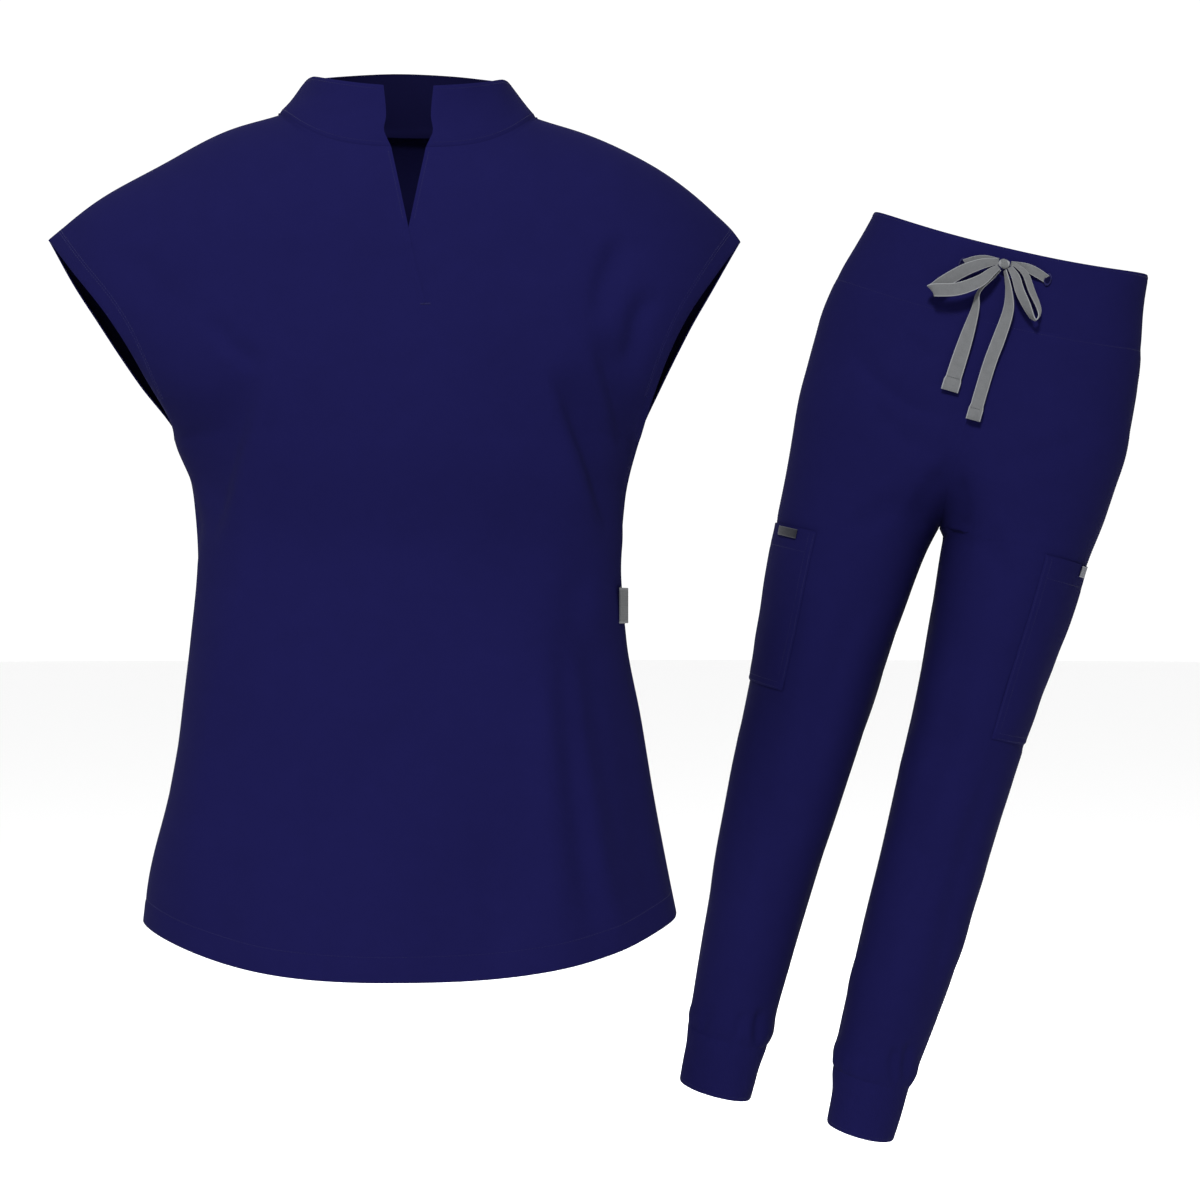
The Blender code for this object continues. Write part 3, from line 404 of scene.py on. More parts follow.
def top_upper_edge(s, side, face):
    tip = abs(top_side_edge(1, side, face)[0])
    if s <= NECK_COLUMN:
        x = tip + (NECK_HALF - tip) * s / NECK_COLUMN
        return side * x, ridge(x, side, face)
    end = NOTCH_HALF if face < 0 else 0.0
    turn = (s - NECK_COLUMN) / (1 - NECK_COLUMN)
    x = NECK_HALF * math.cos(turn * math.acos(end / NECK_HALF))
    return side * x, neck_z(x, face)


def top_hem(s, side):
    half = side_half(HEM_SIDE_Z, side)
    x = half * (1 - s)
    return side * x, HEM_CENTRE_Z + (HEM_SIDE_Z - HEM_CENTRE_Z) * (x / half) ** HEM_POWER


def top_point(s, t, side, face, edges):
    """A point of the top between its four edges, as x, depth and z."""
    left, right, low, high = edges
    corners = (low[0], low[-1], high[0], high[-1])
    flat = [
        (1 - s) * left[k]
        + s * right[k]
        + (1 - t) * low[1][k]
        + t * high[1][k]
        - (1 - t) * ((1 - s) * corners[0][k] + s * corners[1][k])
        - t * ((1 - s) * corners[2][k] + s * corners[3][k])
        for k in (0, 1)
    ]
    depth = top_depth(flat[0], flat[1], side, face)
    return flat[0], face * (depth + SEAM_GAP / 2), flat[1]


def top_grid(rows, columns, side, face):
    """Points over one half of a panel: rows from the hem up, columns from the side in."""
    hem = [top_hem(s, side) for s in columns]
    upper = [top_upper_edge(s, side, face) for s in columns]
    ends = (top_hem(0, side), top_hem(1, side), top_upper_edge(0, side, face), top_upper_edge(1, side, face))
    grid = []
    for t in rows:
        left, right = top_side_edge(t, side, face), top_centre_edge(t, side, face)
        line = []
        for s, low, high in zip(columns, hem, upper):
            edges = (left, right, (ends[0], low, ends[1]), (ends[2], high, ends[3]))
            line.append(top_point(s, t, side, face, edges))
        grid.append(line)
    return np.array(grid)


def collar_point(turn, height):
    """Collar point: turn 0 at the front centre, pi at the back; height 0 at the seam, 1 at the top."""
    face, side = (-1 if math.cos(turn) > 0 else 1), (-1 if math.sin(turn) < 0 else 1)
    x = NECK_HALF * math.sin(turn)
    z = neck_z(x, face)
    seam = Vector((x, face * top_depth(x, z, side, face), z))
    ahead = abs(math.cos(turn))
    top_y, top_z = COLLAR_TOP[face]
    top_z = COLLAR_TOP_SIDE_Z + (top_z - COLLAR_TOP_SIDE_Z) * ahead**COLLAR_RISE_POWER
    top = Vector((COLLAR_TOP_HALF * math.sin(turn), face * top_y * ahead, top_z))
    start = seam + (top - seam).normalized() * (SEAM_GAP + CLOTH)
    out = Vector((math.sin(turn), -math.cos(turn), 0))
    return start.lerp(top, height) - out * COLLAR_BELLY * height * (1 - height)


def leg_split(drop):
    """0 where the hips are one oval, 1 at the crotch where each leg has its own."""
    s = clamp((drop - RISE_CURVE) / (CROTCH - RISE_CURVE))
    shared = 2 * s**3 - 3 * s**2 + 1 + CROTCH_SLOPE * (s**2 - s**3)
    return (1 - shared) / (1 + shared)


def level(drop, side, face):
    """What one height of the trousers needs: outer width, middle, depth, power and full turn."""
    out = smooth_row(TROUSERS_OUT, drop, 1 if side < 0 else 2)
    deep = smooth_row(TROUSERS_DEPTHS, drop, 1 if face < 0 else 2)
    if drop < CROTCH:
        split = leg_split(drop)
        power = HIP_POWER + (LEG_POWER - HIP_POWER) * split
        return out, out * split / (1 + split), deep, power, math.acos(-(split ** (power / 2)))
    inner = smooth_row(TROUSERS_IN, drop, 1 if side < 0 else 2)
    return out, (out + inner) / 2, deep, LEG_POWER, math.pi


def level_point(drop, turn, side, face, sizes):
    """A point at one height of the trousers: turn 0 at the outer seam, 1 at the inner."""
    out, middle, deep, power, full = sizes
    angle = turn * full
    across = signed_power(math.cos(angle), 2 / power)
    around = abs(math.sin(angle)) ** (2 / power)
    x = middle + (out - middle) * across
    dip = WAIST_DIP * around**2 * clamp(1 - (drop - WAIST_BAND) / DIP_FADE) if face < 0 else 0.0
    return side * x, face * deep * around, -(drop + dip)


def trousers_point(drop, turn, side, face):
    return Vector(level_point(drop, turn, side, face, level(drop, side, face)))


# ---- folds and shells ----


def fold_heights(across, up, folds):
    """How far the folds lift each point of a flat pattern, in metres."""
    total = np.zeros_like(across)
    for x0, y0, x1, y1, bow, left, right, height in folds:
        run = np.array((x1 - x0, y1 - y0))
        length = np.hypot(*run)
        run /= length
        along = ((across - x0) * run[0] + (up - y0) * run[1]) / length
        off = (across - x0) * -run[1] + (up - y0) * run[0]
        off = off - bow * 4 * np.clip(along, 0, 1) * (1 - np.clip(along, 0, 1))
        width = np.where(off > 0, left, right)
        fade = ease((along + 0.12) / 0.42) * ease((1.12 - along) / 0.42)
        total += FOLD_DEPTH * height * np.exp(-((off / width) ** 2)) * fade
    return total


def wander(across, up, seed, size, height):
    """A gentle unevenness made of a few crossed waves, so that no stretch of cloth is quite flat."""
    spin = np.random.default_rng(seed)
    total = np.zeros_like(across)
    for _ in range(6):
        angle, phase = spin.uniform(0, math.pi), spin.uniform(0, 2 * math.pi)
        pace = 2 * math.pi / (size * spin.uniform(0.7, 1.6))
        total += np.sin((across * math.cos(angle) + up * math.sin(angle)) * pace + phase)
    return total * height / 6


def grid_normals(grid, away):
    """Unit normals of a grid of points, turned to face away from a point."""
    down = np.gradient(grid, axis=0)
    over = np.gradient(grid, axis=1)
    normal = np.cross(over, down)
    size = np.linalg.norm(normal, axis=2, keepdims=True)
    normal = normal / np.maximum(size, 1e-12)
    facing = np.sum(normal * (grid - away), axis=2, keepdims=True)
    return normal * np.where(facing.sum() < 0, -1.0, 1.0)


def lengths(grid):
    """Distances along each row and up each column, in metres, for the weave's coordinates."""
    across = np.zeros(grid.shape[:2])
    up = np.zeros(grid.shape[:2])
    across[:, 1:] = np.cumsum(np.linalg.norm(np.diff(grid, axis=1), axis=2), axis=1)
    up[1:, :] = np.cumsum(np.linalg.norm(np.diff(grid, axis=0), axis=2), axis=0)
    return across, up


def flat_area(grid):
    """The area of a grid of points."""
    a = grid[1:, 1:] - grid[:-1, :-1]
    b = grid[1:, :-1] - grid[:-1, 1:]
    return 0.5 * np.linalg.norm(np.cross(a, b), axis=2).sum()


trousers = bpy.data.objects.new("trousers_place", None)
trousers.location = TROUSERS_PLACE
trousers.rotation_euler = Euler((0, TROUSERS_LEAN, TROUSERS_TURN), "XYZ")
LEANED = Matrix.LocRotScale(Vector(TROUSERS_PLACE), trousers.rotation_euler, None)
bpy.data.objects.remove(trousers)


def leaned(points):
    """Points in the trousers' own upright frame, put where the trousers are."""
    points = np.asarray(points, dtype=float)
    turn = np.array(LEANED.to_3x3())
    return points @ turn.T + np.array(LEANED.translation)


def add_piece(name, bm, look, nodes=(), smooth=math.radians(50), inside=None):
    """A mesh piece that rides on the part and may stand for some of its nodes."""
    mesh = bpy.data.meshes.new(name)
    bm.to_mesh(mesh)
    bm.free()
    mesh.materials.append(look)
    # A second material, when given, paints the inner faces darker: painted shade.
    if inside:
        mesh.materials.append(inside)
    mesh.shade_smooth()
    mesh.set_sharp_from_angle(angle=smooth)
    piece = bpy.data.objects.new(name, mesh)
    bpy.context.scene.collection.objects.link(piece)
    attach(piece, "root")
    if nodes:
        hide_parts(*nodes)
    return piece


def sheet_mesh(grids):
    """A welded sheet from grids of outer points, each with its weave coordinates."""
    bm = bmesh.new()
    weave = bm.loops.layers.uv.new("weave")
    made = {}

    def vertex(co):
        key = tuple(np.round(co, 6))
        if key not in made:
            made[key] = bm.verts.new(co)
        return made[key]

    for outer, across, up in grids:
        verts = [[vertex(co) for co in row] for row in outer]
        rows, columns = len(verts), len(verts[0])
        for i in range(rows - 1):
            for j in range(columns - 1):
                quad = ((i, j), (i, j + 1), (i + 1, j + 1), (i + 1, j))
                ring = list(dict.fromkeys(verts[a][b] for a, b in quad))
                if len(ring) < 3:
                    continue
                try:
                    face = bm.faces.new(ring)
                except ValueError:
                    continue
                places = {verts[a][b]: (across[a, b], up[a, b]) for a, b in quad}
                for loop in face.loops:
                    loop[weave].uv = places[loop.vert]
    bmesh.ops.recalc_face_normals(bm, faces=bm.faces)
    return bm


def turn_outward(bm, centre):
    """Faces a sheet away from a point inside it."""
    total = sum(face.normal.dot(face.calc_center_median() - Vector(centre)) for face in bm.faces)
    if total < 0:
        bmesh.ops.reverse_faces(bm, faces=bm.faces)


def thicken(piece, wall):
    """Makes a sheet solid inwards with a softly turned rim."""
    shell = piece.modifiers.new("wall", "SOLIDIFY")
    shell.thickness = wall
    shell.offset = -1
    shell.use_rim = True
    # The inner faces take the last material, which is the painted-shade copy where one is given.
    shell.material_offset = len(piece.data.materials) - 1
    with bpy.context.temp_override(object=piece, active_object=piece, selected_objects=[piece]):
        bpy.ops.object.modifier_apply(modifier="wall")
    piece.data.set_sharp_from_angle(angle=math.radians(50))
    return piece


# ---- materials ----


def new_look(name, colour, rough, sheen=0.0):
    look = bpy.data.materials.new(name)
    look.use_nodes = True
    shader = look.node_tree.nodes["Principled BSDF"]
    shader.inputs["Base Color"].default_value = (*colour, 1)
    shader.inputs["Roughness"].default_value = rough
    shader.inputs["Metallic"].default_value = 0.0
    shader.inputs["Specular IOR Level"].default_value = 0.02
    shader.inputs["Sheen Weight"].default_value = sheen
    shader.inputs["Sheen Roughness"].default_value = 0.5
    return look, look.node_tree, shader


def node(tree, kind, **sockets):
    made = tree.nodes.new(kind)
    for name, value in sockets.items():
        made.inputs[name.replace("_", " ")].default_value = value
    return made


def maths(tree, operation, first, second=None):
    made = tree.nodes.new("ShaderNodeMath")
    made.operation = operation
    for socket, value in zip(made.inputs, (first, second)):
        if value is None:
            continue
        if isinstance(value, (int, float)):
            socket.default_value = value
        else:
            tree.links.new(value, socket)
    return made.outputs[0]


def weave_coordinates(tree):
    """The cloth's own coordinates in metres, apart."""
    place = tree.nodes.new("ShaderNodeUVMap")
    place.uv_map = "weave"
    apart = tree.nodes.new("ShaderNodeSeparateXYZ")
    tree.links.new(place.outputs["UV"], apart.inputs[0])
    return place.outputs["UV"], apart.outputs["X"], apart.outputs["Y"]


def mottled(tree, shader, coordinates, dark, light, scales):
    """Base colour that wanders softly between two shades."""
    total = None
    for scale, share in scales:
        noise = node(tree, "ShaderNodeTexNoise", Scale=scale, Detail=3.0, Roughness=0.55)
        tree.links.new(coordinates, noise.inputs["Vector"])
        part = maths(tree, "MULTIPLY", noise.outputs["Fac"], share)
        total = part if total is None else maths(tree, "ADD", total, part)
    ramp = tree.nodes.new("ShaderNodeValToRGB")
    ramp.color_ramp.elements[0].position = 0.32
    ramp.color_ramp.elements[1].position = 0.68
    ramp.color_ramp.elements[0].color = (*dark, 1)
    ramp.color_ramp.elements[1].color = (*light, 1)
    tree.links.new(total, ramp.inputs["Fac"])
    tree.links.new(ramp.outputs["Color"], shader.inputs["Base Color"])
    return ramp.outputs["Color"]


def bumped(tree, shader, height, strength, distance):
    bump = node(tree, "ShaderNodeBump", Strength=strength, Distance=distance)
    tree.links.new(height, bump.inputs["Height"])
    tree.links.new(bump.outputs["Normal"], shader.inputs["Normal"])


def stripes(tree, x, y, slope, pitch):
    """Fine ribs at a slope across the cloth, one each pitch, as a height from 0 to 1."""
    over = maths(tree, "MULTIPLY", x, slope[0] / pitch)
    up = maths(tree, "MULTIPLY", y, slope[1] / pitch)
    place = maths(tree, "ADD", over, up)
    wave = maths(tree, "SINE", maths(tree, "MULTIPLY", place, 2 * math.pi))
    return maths(tree, "ADD", maths(tree, "MULTIPLY", wave, 0.5), 0.5)


NAVY = (0.0033, 0.0031, 0.0250)
INSIDE_SHADE = 0.42  # painted shade: how much darker the inner faces are painted than the cloth's face, for the shade inside the hollow garments


def shade(colour, by):
    return tuple(channel * by for channel in colour)


def twill_look(name, colour):
    """Twill: diagonal wales, crossing yarns, and slow changes of shade."""
    look, tree, shader = new_look(name, colour, 0.9)
    coordinates, x, y = weave_coordinates(tree)
    spots = ((9, 0.4), (60, 0.3), (700, 0.3))
    mottled(tree, shader, coordinates, shade(colour, 0.93), shade(colour, 1.07), spots)
    wales = stripes(tree, x, y, (0.85, 0.53), 0.9 * MM)
    yarns = stripes(tree, x, y, (0.35, -0.94), 0.5 * MM)
    slubs = node(tree, "ShaderNodeTexNoise", Scale=900.0, Detail=2.0)
    tree.links.new(coordinates, slubs.inputs["Vector"])
    height = maths(tree, "ADD", maths(tree, "MULTIPLY", wales, 0.6), maths(tree, "MULTIPLY", yarns, 0.25))
    height = maths(tree, "ADD", height, maths(tree, "MULTIPLY", slubs.outputs["Fac"], 0.5))
    bumped(tree, shader, height, 0.35, 0.12 * MM)
    return look


def rib_look(name, colour):
    """Rib knit: upright ribs with loops down them."""
    look, tree, shader = new_look(name, colour, 0.9)
    coordinates, x, y = weave_coordinates(tree)
    spots = ((14, 0.4), (90, 0.3), (600, 0.3))
    mottled(tree, shader, coordinates, shade(colour, 0.93), shade(colour, 1.08), spots)
    ribs = stripes(tree, x, y, (1, 0), 2.0 * MM)
    loops = stripes(tree, x, y, (0.2, 1), 0.9 * MM)
    height = maths(tree, "ADD", maths(tree, "MULTIPLY", ribs, 0.8), maths(tree, "MULTIPLY", loops, 0.3))
    bumped(tree, shader, height, 0.5, 0.25 * MM)
    return look


def tape_look(name, colour, edge):
    """Woven tape: a fine herringbone, with the selvedges painted paler as a highlight on the tape's rounded
    edges; x runs 0 to 1 across its width.
    """
    look, tree, shader = new_look(name, colour, 0.8, sheen=0.1)
    coordinates, x, y = weave_coordinates(tree)
    spread_out = tree.nodes.new("ShaderNodeMapping")
    spread_out.inputs["Scale"].default_value = (0.012, 1, 1)
    tree.links.new(coordinates, spread_out.inputs["Vector"])
    spots = ((120, 0.5), (900, 0.5))
    base = mottled(tree, shader, spread_out.outputs["Vector"], shade(colour, 0.86), shade(colour, 1.1), spots)
    aside = maths(tree, "ABSOLUTE", maths(tree, "SUBTRACT", x, 0.5))
    # Painted highlight: the selvedges take the paler edge colour, which stands in for light on the tape's
    # rounded edges.
    selvedge_highlight = tree.nodes.new("ShaderNodeValToRGB")
    selvedge_highlight.color_ramp.elements[0].position = 0.42
    selvedge_highlight.color_ramp.elements[1].position = 0.46
    tree.links.new(aside, selvedge_highlight.inputs["Fac"])
    blend = tree.nodes.new("ShaderNodeMix")
    blend.data_type = "RGBA"
    tree.links.new(selvedge_highlight.outputs["Color"], blend.inputs["Factor"])
    tree.links.new(base, blend.inputs["A"])
    blend.inputs["B"].default_value = (*edge, 1)
    tree.links.new(blend.outputs["Result"], shader.inputs["Base Color"])
    chevrons = stripes(tree, aside, y, (0.012, 1), 1.1 * MM)
    yarns = stripes(tree, x, y, (0.012, 0), 0.6 * MM)
    height = maths(tree, "ADD", maths(tree, "MULTIPLY", chevrons, 0.6), maths(tree, "MULTIPLY", yarns, 0.5))
    bumped(tree, shader, height, 0.6, 0.15 * MM)
    return look


def thread_look(name, colour):
    """Sewing thread: two plies twisted together."""
    look, tree, shader = new_look(name, colour, 0.6, sheen=0.1)
    place = tree.nodes.new("ShaderNodeTexCoord").outputs["Object"]
    mottled(tree, shader, place, shade(colour, 0.8), shade(colour, 1.2), ((800, 1.0),))
    twist = node(tree, "ShaderNodeTexNoise", Scale=3000.0, Detail=1.0)
    tree.links.new(place, twist.inputs["Vector"])
    bumped(tree, shader, twist.outputs["Fac"], 0.4, 0.1 * MM)
    return look


navy_twill = twill_look("navy_twill_cloth", NAVY)
# A darker copy of the twill on the inner faces: painted shade inside the top, collar and trousers.
navy_inside_shaded = twill_look("navy_twill_inside_painted_shade_cloth", shade(NAVY, INSIDE_SHADE))
navy_rib = rib_look("navy_rib_cloth", shade(NAVY, 1.04))
# The second colour of each tape is the painted highlight of its selvedges.
grey_tape = tape_look("grey_tape_cloth", (0.066, 0.068, 0.071), (0.118, 0.121, 0.127))
dark_tab = tape_look("dark_tab_cloth", (0.006, 0.0065, 0.010), (0.026, 0.027, 0.033))
grey_tab = tape_look("grey_tab_cloth", (0.036, 0.038, 0.041), (0.068, 0.071, 0.075))
pale_tab = tape_look("pale_tab_cloth", (0.085, 0.087, 0.100), (0.125, 0.126, 0.140))
navy_thread = thread_look("navy_thread", shade(NAVY, 1.25))
grey_thread = thread_look("grey_thread", (0.030, 0.031, 0.034))

# ---- the drawstring ----

TAPE_WALL = 1.0 * MM
SELVEDGE = 0.35 * MM  # how much thicker the two edges are
TAPE_HEM = 12.5 * MM
TAPE_FINE = 9
TAPE_ACROSS = 14


def band_front(x, drop):
    """The waist front's depth at x, on the band or below it."""
    side = -1 if x < 0 else 1
    out = smooth_row(TROUSERS_OUT, drop, 1 if side < 0 else 2)
    deep = smooth_row(TROUSERS_DEPTHS, drop, 1)
    return deep * (1 - (abs(x) / out) ** HIP_POWER) ** (1 / HIP_POWER)


def smooth_route(rows, steps):
    """A Catmull-Rom curve through a table's rows, each column alike."""
    padded = [rows[0], *rows, rows[-1]]
    route = []
    for k in range(1, len(padded) - 2):
        a, b, c, d = padded[k - 1 : k + 3]
        for n in range(steps):
            s = n / steps
            point = []
            for p, q, r, w in zip(a, b, c, d):
                turn = (2 * p - 5 * q + 4 * r - w) * s * s + (3 * q - p - 3 * r + w) * s**3
                point.append(0.5 * (2 * q + (r - p) * s + turn))
            route.append(point)
    route.append(list(rows[-1]))
    return route


def tape_sections(rows, steps):
    """Centre, half-width and unit thickness vectors along a tape's route, in the trousers' frame."""
    route = smooth_route(rows, steps)
    centres = [Vector((row[0], -(band_front(row[0], row[1]) + row[2]), -row[1])) for row in route]
    sections = []
    for k, (row, centre) in enumerate(zip(route, centres)):
        along = (centres[min(k + 1, len(centres) - 1)] - centres[max(k - 1, 0)]).normalized()
        lean, tilt = math.radians(row[4]), math.radians(row[5])
        across = Vector((math.cos(lean) * math.cos(tilt), -math.sin(tilt), math.sin(lean) * math.cos(tilt)))
        across = (across - along * across.dot(along)).normalized()
        sections.append((centre, across * row[3] / 2, along.cross(across)))
    return sections


def tape_profile():
    """Half a tape's thickness across its width from -1 to 1: thin, with a rounded cord at each edge."""
    profile = []
    for k in range(TAPE_ACROSS + 1):
        x = -math.cos(math.pi * k / TAPE_ACROSS)
        cord = math.exp(-(((1 - abs(x)) / 0.10) ** 2)) if abs(x) < 1 else 0.0
        rounded = math.sqrt(max(0.0, 1 - max(0.0, (abs(x) - 0.93) / 0.07) ** 2))
        profile.append((x, (TAPE_WALL / 2 + SELVEDGE / 2 * cord) * rounded))
    return profile


def add_tape(name, rows, hemmed):
    """A woven tape along its route; a hemmed one ends in a folded, wider stretch."""
    sections = tape_sections(rows, TAPE_FINE)
    centres = [section[0] for section in sections]
    run = [0.0]
    for a, b in zip(centres, centres[1:]):
        run.append(run[-1] + (b - a).length)
    total = run[-1]
    profile = tape_profile()
    bm = bmesh.new()
    weave = bm.loops.layers.uv.new("weave")
    rings = []
    for (centre, half, through), s in zip(sections, run):
        folded = ease((s - (total - TAPE_HEM)) / (0.6 * MM)) if hemmed else 0.0
        end = clamp((total - s) / (1.2 * MM)) if hemmed else 1.0
        wide = 1 + 0.13 * folded
        thick = (1 + 1.5 * folded) * math.sqrt(max(0.06, 1 - (1 - end) ** 2))
        ring = []
        for x, deep in profile:
            ring.append((centre + half * x * wide + through * deep * thick, 0.5 + x / 2, s))
        for x, deep in profile[-2:0:-1]:
            ring.append((centre + half * x * wide - through * deep * thick, 0.5 + x / 2, s))
        rings.append([(bm.verts.new(leaned(co)), u, v) for co, u, v in ring])
    for low, high in zip(rings, rings[1:]):
        count = len(low)
        for j in range(count):
            corners = (low[j], low[(j + 1) % count], high[(j + 1) % count], high[j])
            face = bm.faces.new([corner[0] for corner in corners])
            for loop, corner in zip(face.loops, corners):
                loop[weave].uv = corner[1:]
    for ring in (rings[0], rings[-1][::-1]):
        face = bm.faces.new([corner[0] for corner in ring])
        for loop, corner in zip(face.loops, ring):
            loop[weave].uv = corner[1:]
    bmesh.ops.recalc_face_normals(bm, faces=bm.faces)
    piece = add_piece(name + "_cloth", bm, grey_tape, (name,))
    path = [tuple(leaned(centre)) for centre in centres]
    return piece, path, total


KNOT_SQUEEZE = (1.02, 0.50, 0.78)


def add_knot():
    """The bow's knot: a soft lump wrapped by a band of tape that crosses it aslant."""
    x, drop, out = KNOT
    centre = Vector((x, -(band_front(x, drop) + out), -drop))
    bm = bmesh.new()
    weave = bm.loops.layers.uv.new("weave")
    rings, around = [], 40
    for i in range(25):
        polar = math.pi * i / 24
        ring = []
        for j in range(around):
            angle = 2 * math.pi * j / around
            round_size = math.sin(polar)
            radial = Vector((round_size * math.cos(angle), round_size * math.sin(angle), math.cos(polar)))
            crossing = radial.x * 0.94 + radial.z * 0.34
            band = math.exp(-((crossing / 0.52) ** 6))
            pinch = 0.09 * math.cos(5 * angle + 2 * polar) * math.sin(polar)
            dents = 0.05 * math.cos(3 * angle + 1.0) * math.cos(2 * polar)
            grow = 0.84 + 0.17 * band + pinch * (1 - band) + dents - 0.03 * math.cos(22 * crossing) * band
            shape = [signed_power(radial[k], 0.78) * KNOT_RADII[k] * KNOT_SQUEEZE[k] for k in range(3)]
            co = centre + Vector(shape) * grow
            # Beyond the band's middle the across-place passes the selvedge mark, so there the lump takes the
            # tape's painted highlight colour.
            ring.append((bm.verts.new(leaned(co)), 0.5 + crossing * 0.85, angle * KNOT_RADII[1]))
        rings.append(ring)
    for low, high in zip(rings, rings[1:]):
        for j in range(around):
            corners = (low[j], low[(j + 1) % around], high[(j + 1) % around], high[j])
            face = bm.faces.new([corner[0] for corner in corners])
            for loop, corner in zip(face.loops, corners):
                loop[weave].uv = corner[1:]
    bmesh.ops.remove_doubles(bm, verts=bm.verts, dist=1e-6)
    bmesh.ops.recalc_face_normals(bm, faces=bm.faces)
    return add_piece("tape_knot_cloth", bm, grey_tape, ("tape_knot",))


tapes = {name: add_tape(name, rows, "tail" in name) for name, rows in TAPE.items()}
knot = add_knot()

# ---- stitches ----


def add_stitches(name, runs, look, pitch=2.6 * MM, radius=0.16 * MM, sunk=0.10 * MM):
    """Rows of small raised stitches along runs of points, each with the way out of the cloth."""
    bm = bmesh.new()
    for points, normals in runs:
        points, normals = np.asarray(points), np.asarray(normals)
        steps = np.linalg.norm(np.diff(points, axis=0), axis=1)
        run = np.concatenate(([0.0], np.cumsum(steps)))
        count = int(run[-1] / pitch)
        for k in range(count):
            ends = ((k + 0.14) * pitch, (k + 0.86) * pitch)
            path = []
            for n in range(5):
                at = ends[0] + (ends[1] - ends[0]) * n / 4
                co = np.array([np.interp(at, run, points[:, axis]) for axis in range(3)])
                out = np.array([np.interp(at, run, normals[:, axis]) for axis in range(3)])
                lift = radius * math.sin(math.pi * n / 4) * 1.1 - sunk
                path.append((Vector(co + out * lift), Vector(out).normalized()))
            add_stitch(bm, path, radius)
    bmesh.ops.recalc_face_normals(bm, faces=bm.faces)
    return add_piece(name, bm, look)


def add_stitch(bm, path, radius):
    """One stitch: a five-sided thread through a short arc of points."""
    rings = []
    for k, (co, out) in enumerate(path):
        along = (path[min(k + 1, 4)][0] - path[max(k - 1, 0)][0]).normalized()
        across = along.cross(out).normalized()
        up = across.cross(along)
        thick = radius * (0.55 if k in (0, 4) else 1.0)
        ring = []
        for j in range(5):
            angle = 2 * math.pi * j / 5
            ring.append(bm.verts.new(co + across * math.cos(angle) * thick + up * math.sin(angle) * thick))
        rings.append(ring)
    for low, high in zip(rings, rings[1:]):
        for j in range(5):
            bm.faces.new((low[j], low[(j + 1) % 5], high[(j + 1) % 5], high[j]))
    bm.faces.new(rings[0][::-1])
    bm.faces.new(rings[-1])


def tape_stitches():
    """The stitch lines that hold the tails' folded ends."""
    runs = []
    for name in ("tape_tail_left", "tape_tail_right"):
        sections = tape_sections(TAPE[name], TAPE_FINE)
        centres = [section[0] for section in sections]
        left = 0.0
        k = len(centres) - 1
        while left < TAPE_HEM - 2.0 * MM:
            left += (centres[k] - centres[k - 1]).length
            k -= 1
        centre, half, through = sections[k]
        facing = through if through.y < 0 else -through
        points = [centre + half * x * 0.86 + facing * TAPE_WALL * 1.30 for x in (-1, -0.5, 0, 0.5, 1)]
        outs = leaned([co + facing for co in points]) - leaned(points)
        runs.append((leaned(points), outs))
    return add_stitches("tape_hem_stitches", runs, grey_thread, pitch=1.8 * MM, radius=0.22 * MM)


tail_stitches = tape_stitches()

# ---- the top ----

TOP_ROWS_BELOW, TOP_ROWS_ABOVE = 124, 60
TOP_COLUMNS_OUT, TOP_COLUMNS_IN = 58, 22
EDGE_ROLL = 0.5 * MM
HEM_DEPTH, SLEEVE_HEM = 0.020, 0.015


def top_rows():
    rows = [0.0, 0.0015, 0.004]
    rows += [UNDERARM_ROW * k / TOP_ROWS_BELOW for k in range(1, TOP_ROWS_BELOW)]
    above = 1 - UNDERARM_ROW
    rows += [1 - above * (1 - k / TOP_ROWS_ABOVE) ** 1.2 for k in range(TOP_ROWS_ABOVE + 1)]
    rows[min(range(len(rows)), key=lambda k: abs(rows[k] - APEX_ROW))] = APEX_ROW
    return rows


def top_columns():
    columns = [NECK_COLUMN * s for s in spread(TOP_COLUMNS_OUT, 1.25)[:-1]]
    return columns + [NECK_COLUMN + (1 - NECK_COLUMN) * s for s in spread(TOP_COLUMNS_IN)]


def top_half(side, face):
    """One half of the front or back with its folds, and the coordinates of its weave."""
    rows, columns = top_rows(), top_columns()
    grid = top_grid(rows, columns, side, face)
    outward = grid_normals(grid, np.array((0.0, 0.0, -0.35)))
    across, up = grid[:, :, 0], grid[:, :, 2]
    folds = TOP_FRONT_FOLDS if face < 0 else TOP_BACK_FOLDS
    lift = fold_heights(across, up, folds) + wander(across, up, 5 + face, 0.11, 0.0030)
    t = np.array(rows)[:, None]
    from_side, from_hem = lengths(grid)
    seam = ease(from_side / 0.012)
    calm = seam * ease((from_hem.max(axis=0)[None, :] - from_hem) / 0.010)
    tab_z = (SIDE_TAB_Z[0] + SIDE_TAB_Z[1]) / 2
    by_tab = np.exp(-(((up - tab_z) / 0.026) ** 2)) * ease((across - 0.125) / 0.03)
    lift = lift * calm * (1 - by_tab)
    hem_edge = ease(1 - from_hem / (1.4 * MM))
    sleeve_edge = ease(1 - from_side / (1.4 * MM)) * (t > UNDERARM_ROW)
    lift -= EDGE_ROLL * np.maximum(hem_edge, sleeve_edge)
    lift -= 0.35 * MM * np.exp(-(((from_hem - HEM_DEPTH) / (1.6 * MM)) ** 2)) * seam
    lift += 0.30 * MM * ease((HEM_DEPTH - from_hem) / (2.0 * MM)) * seam
    moved = grid + outward * lift[:, :, None]
    moved[:, :, 0] = np.where(np.abs(grid[:, :, 0]) < 1e-9, 0.0, moved[:, :, 0])
    return moved, across, up, outward


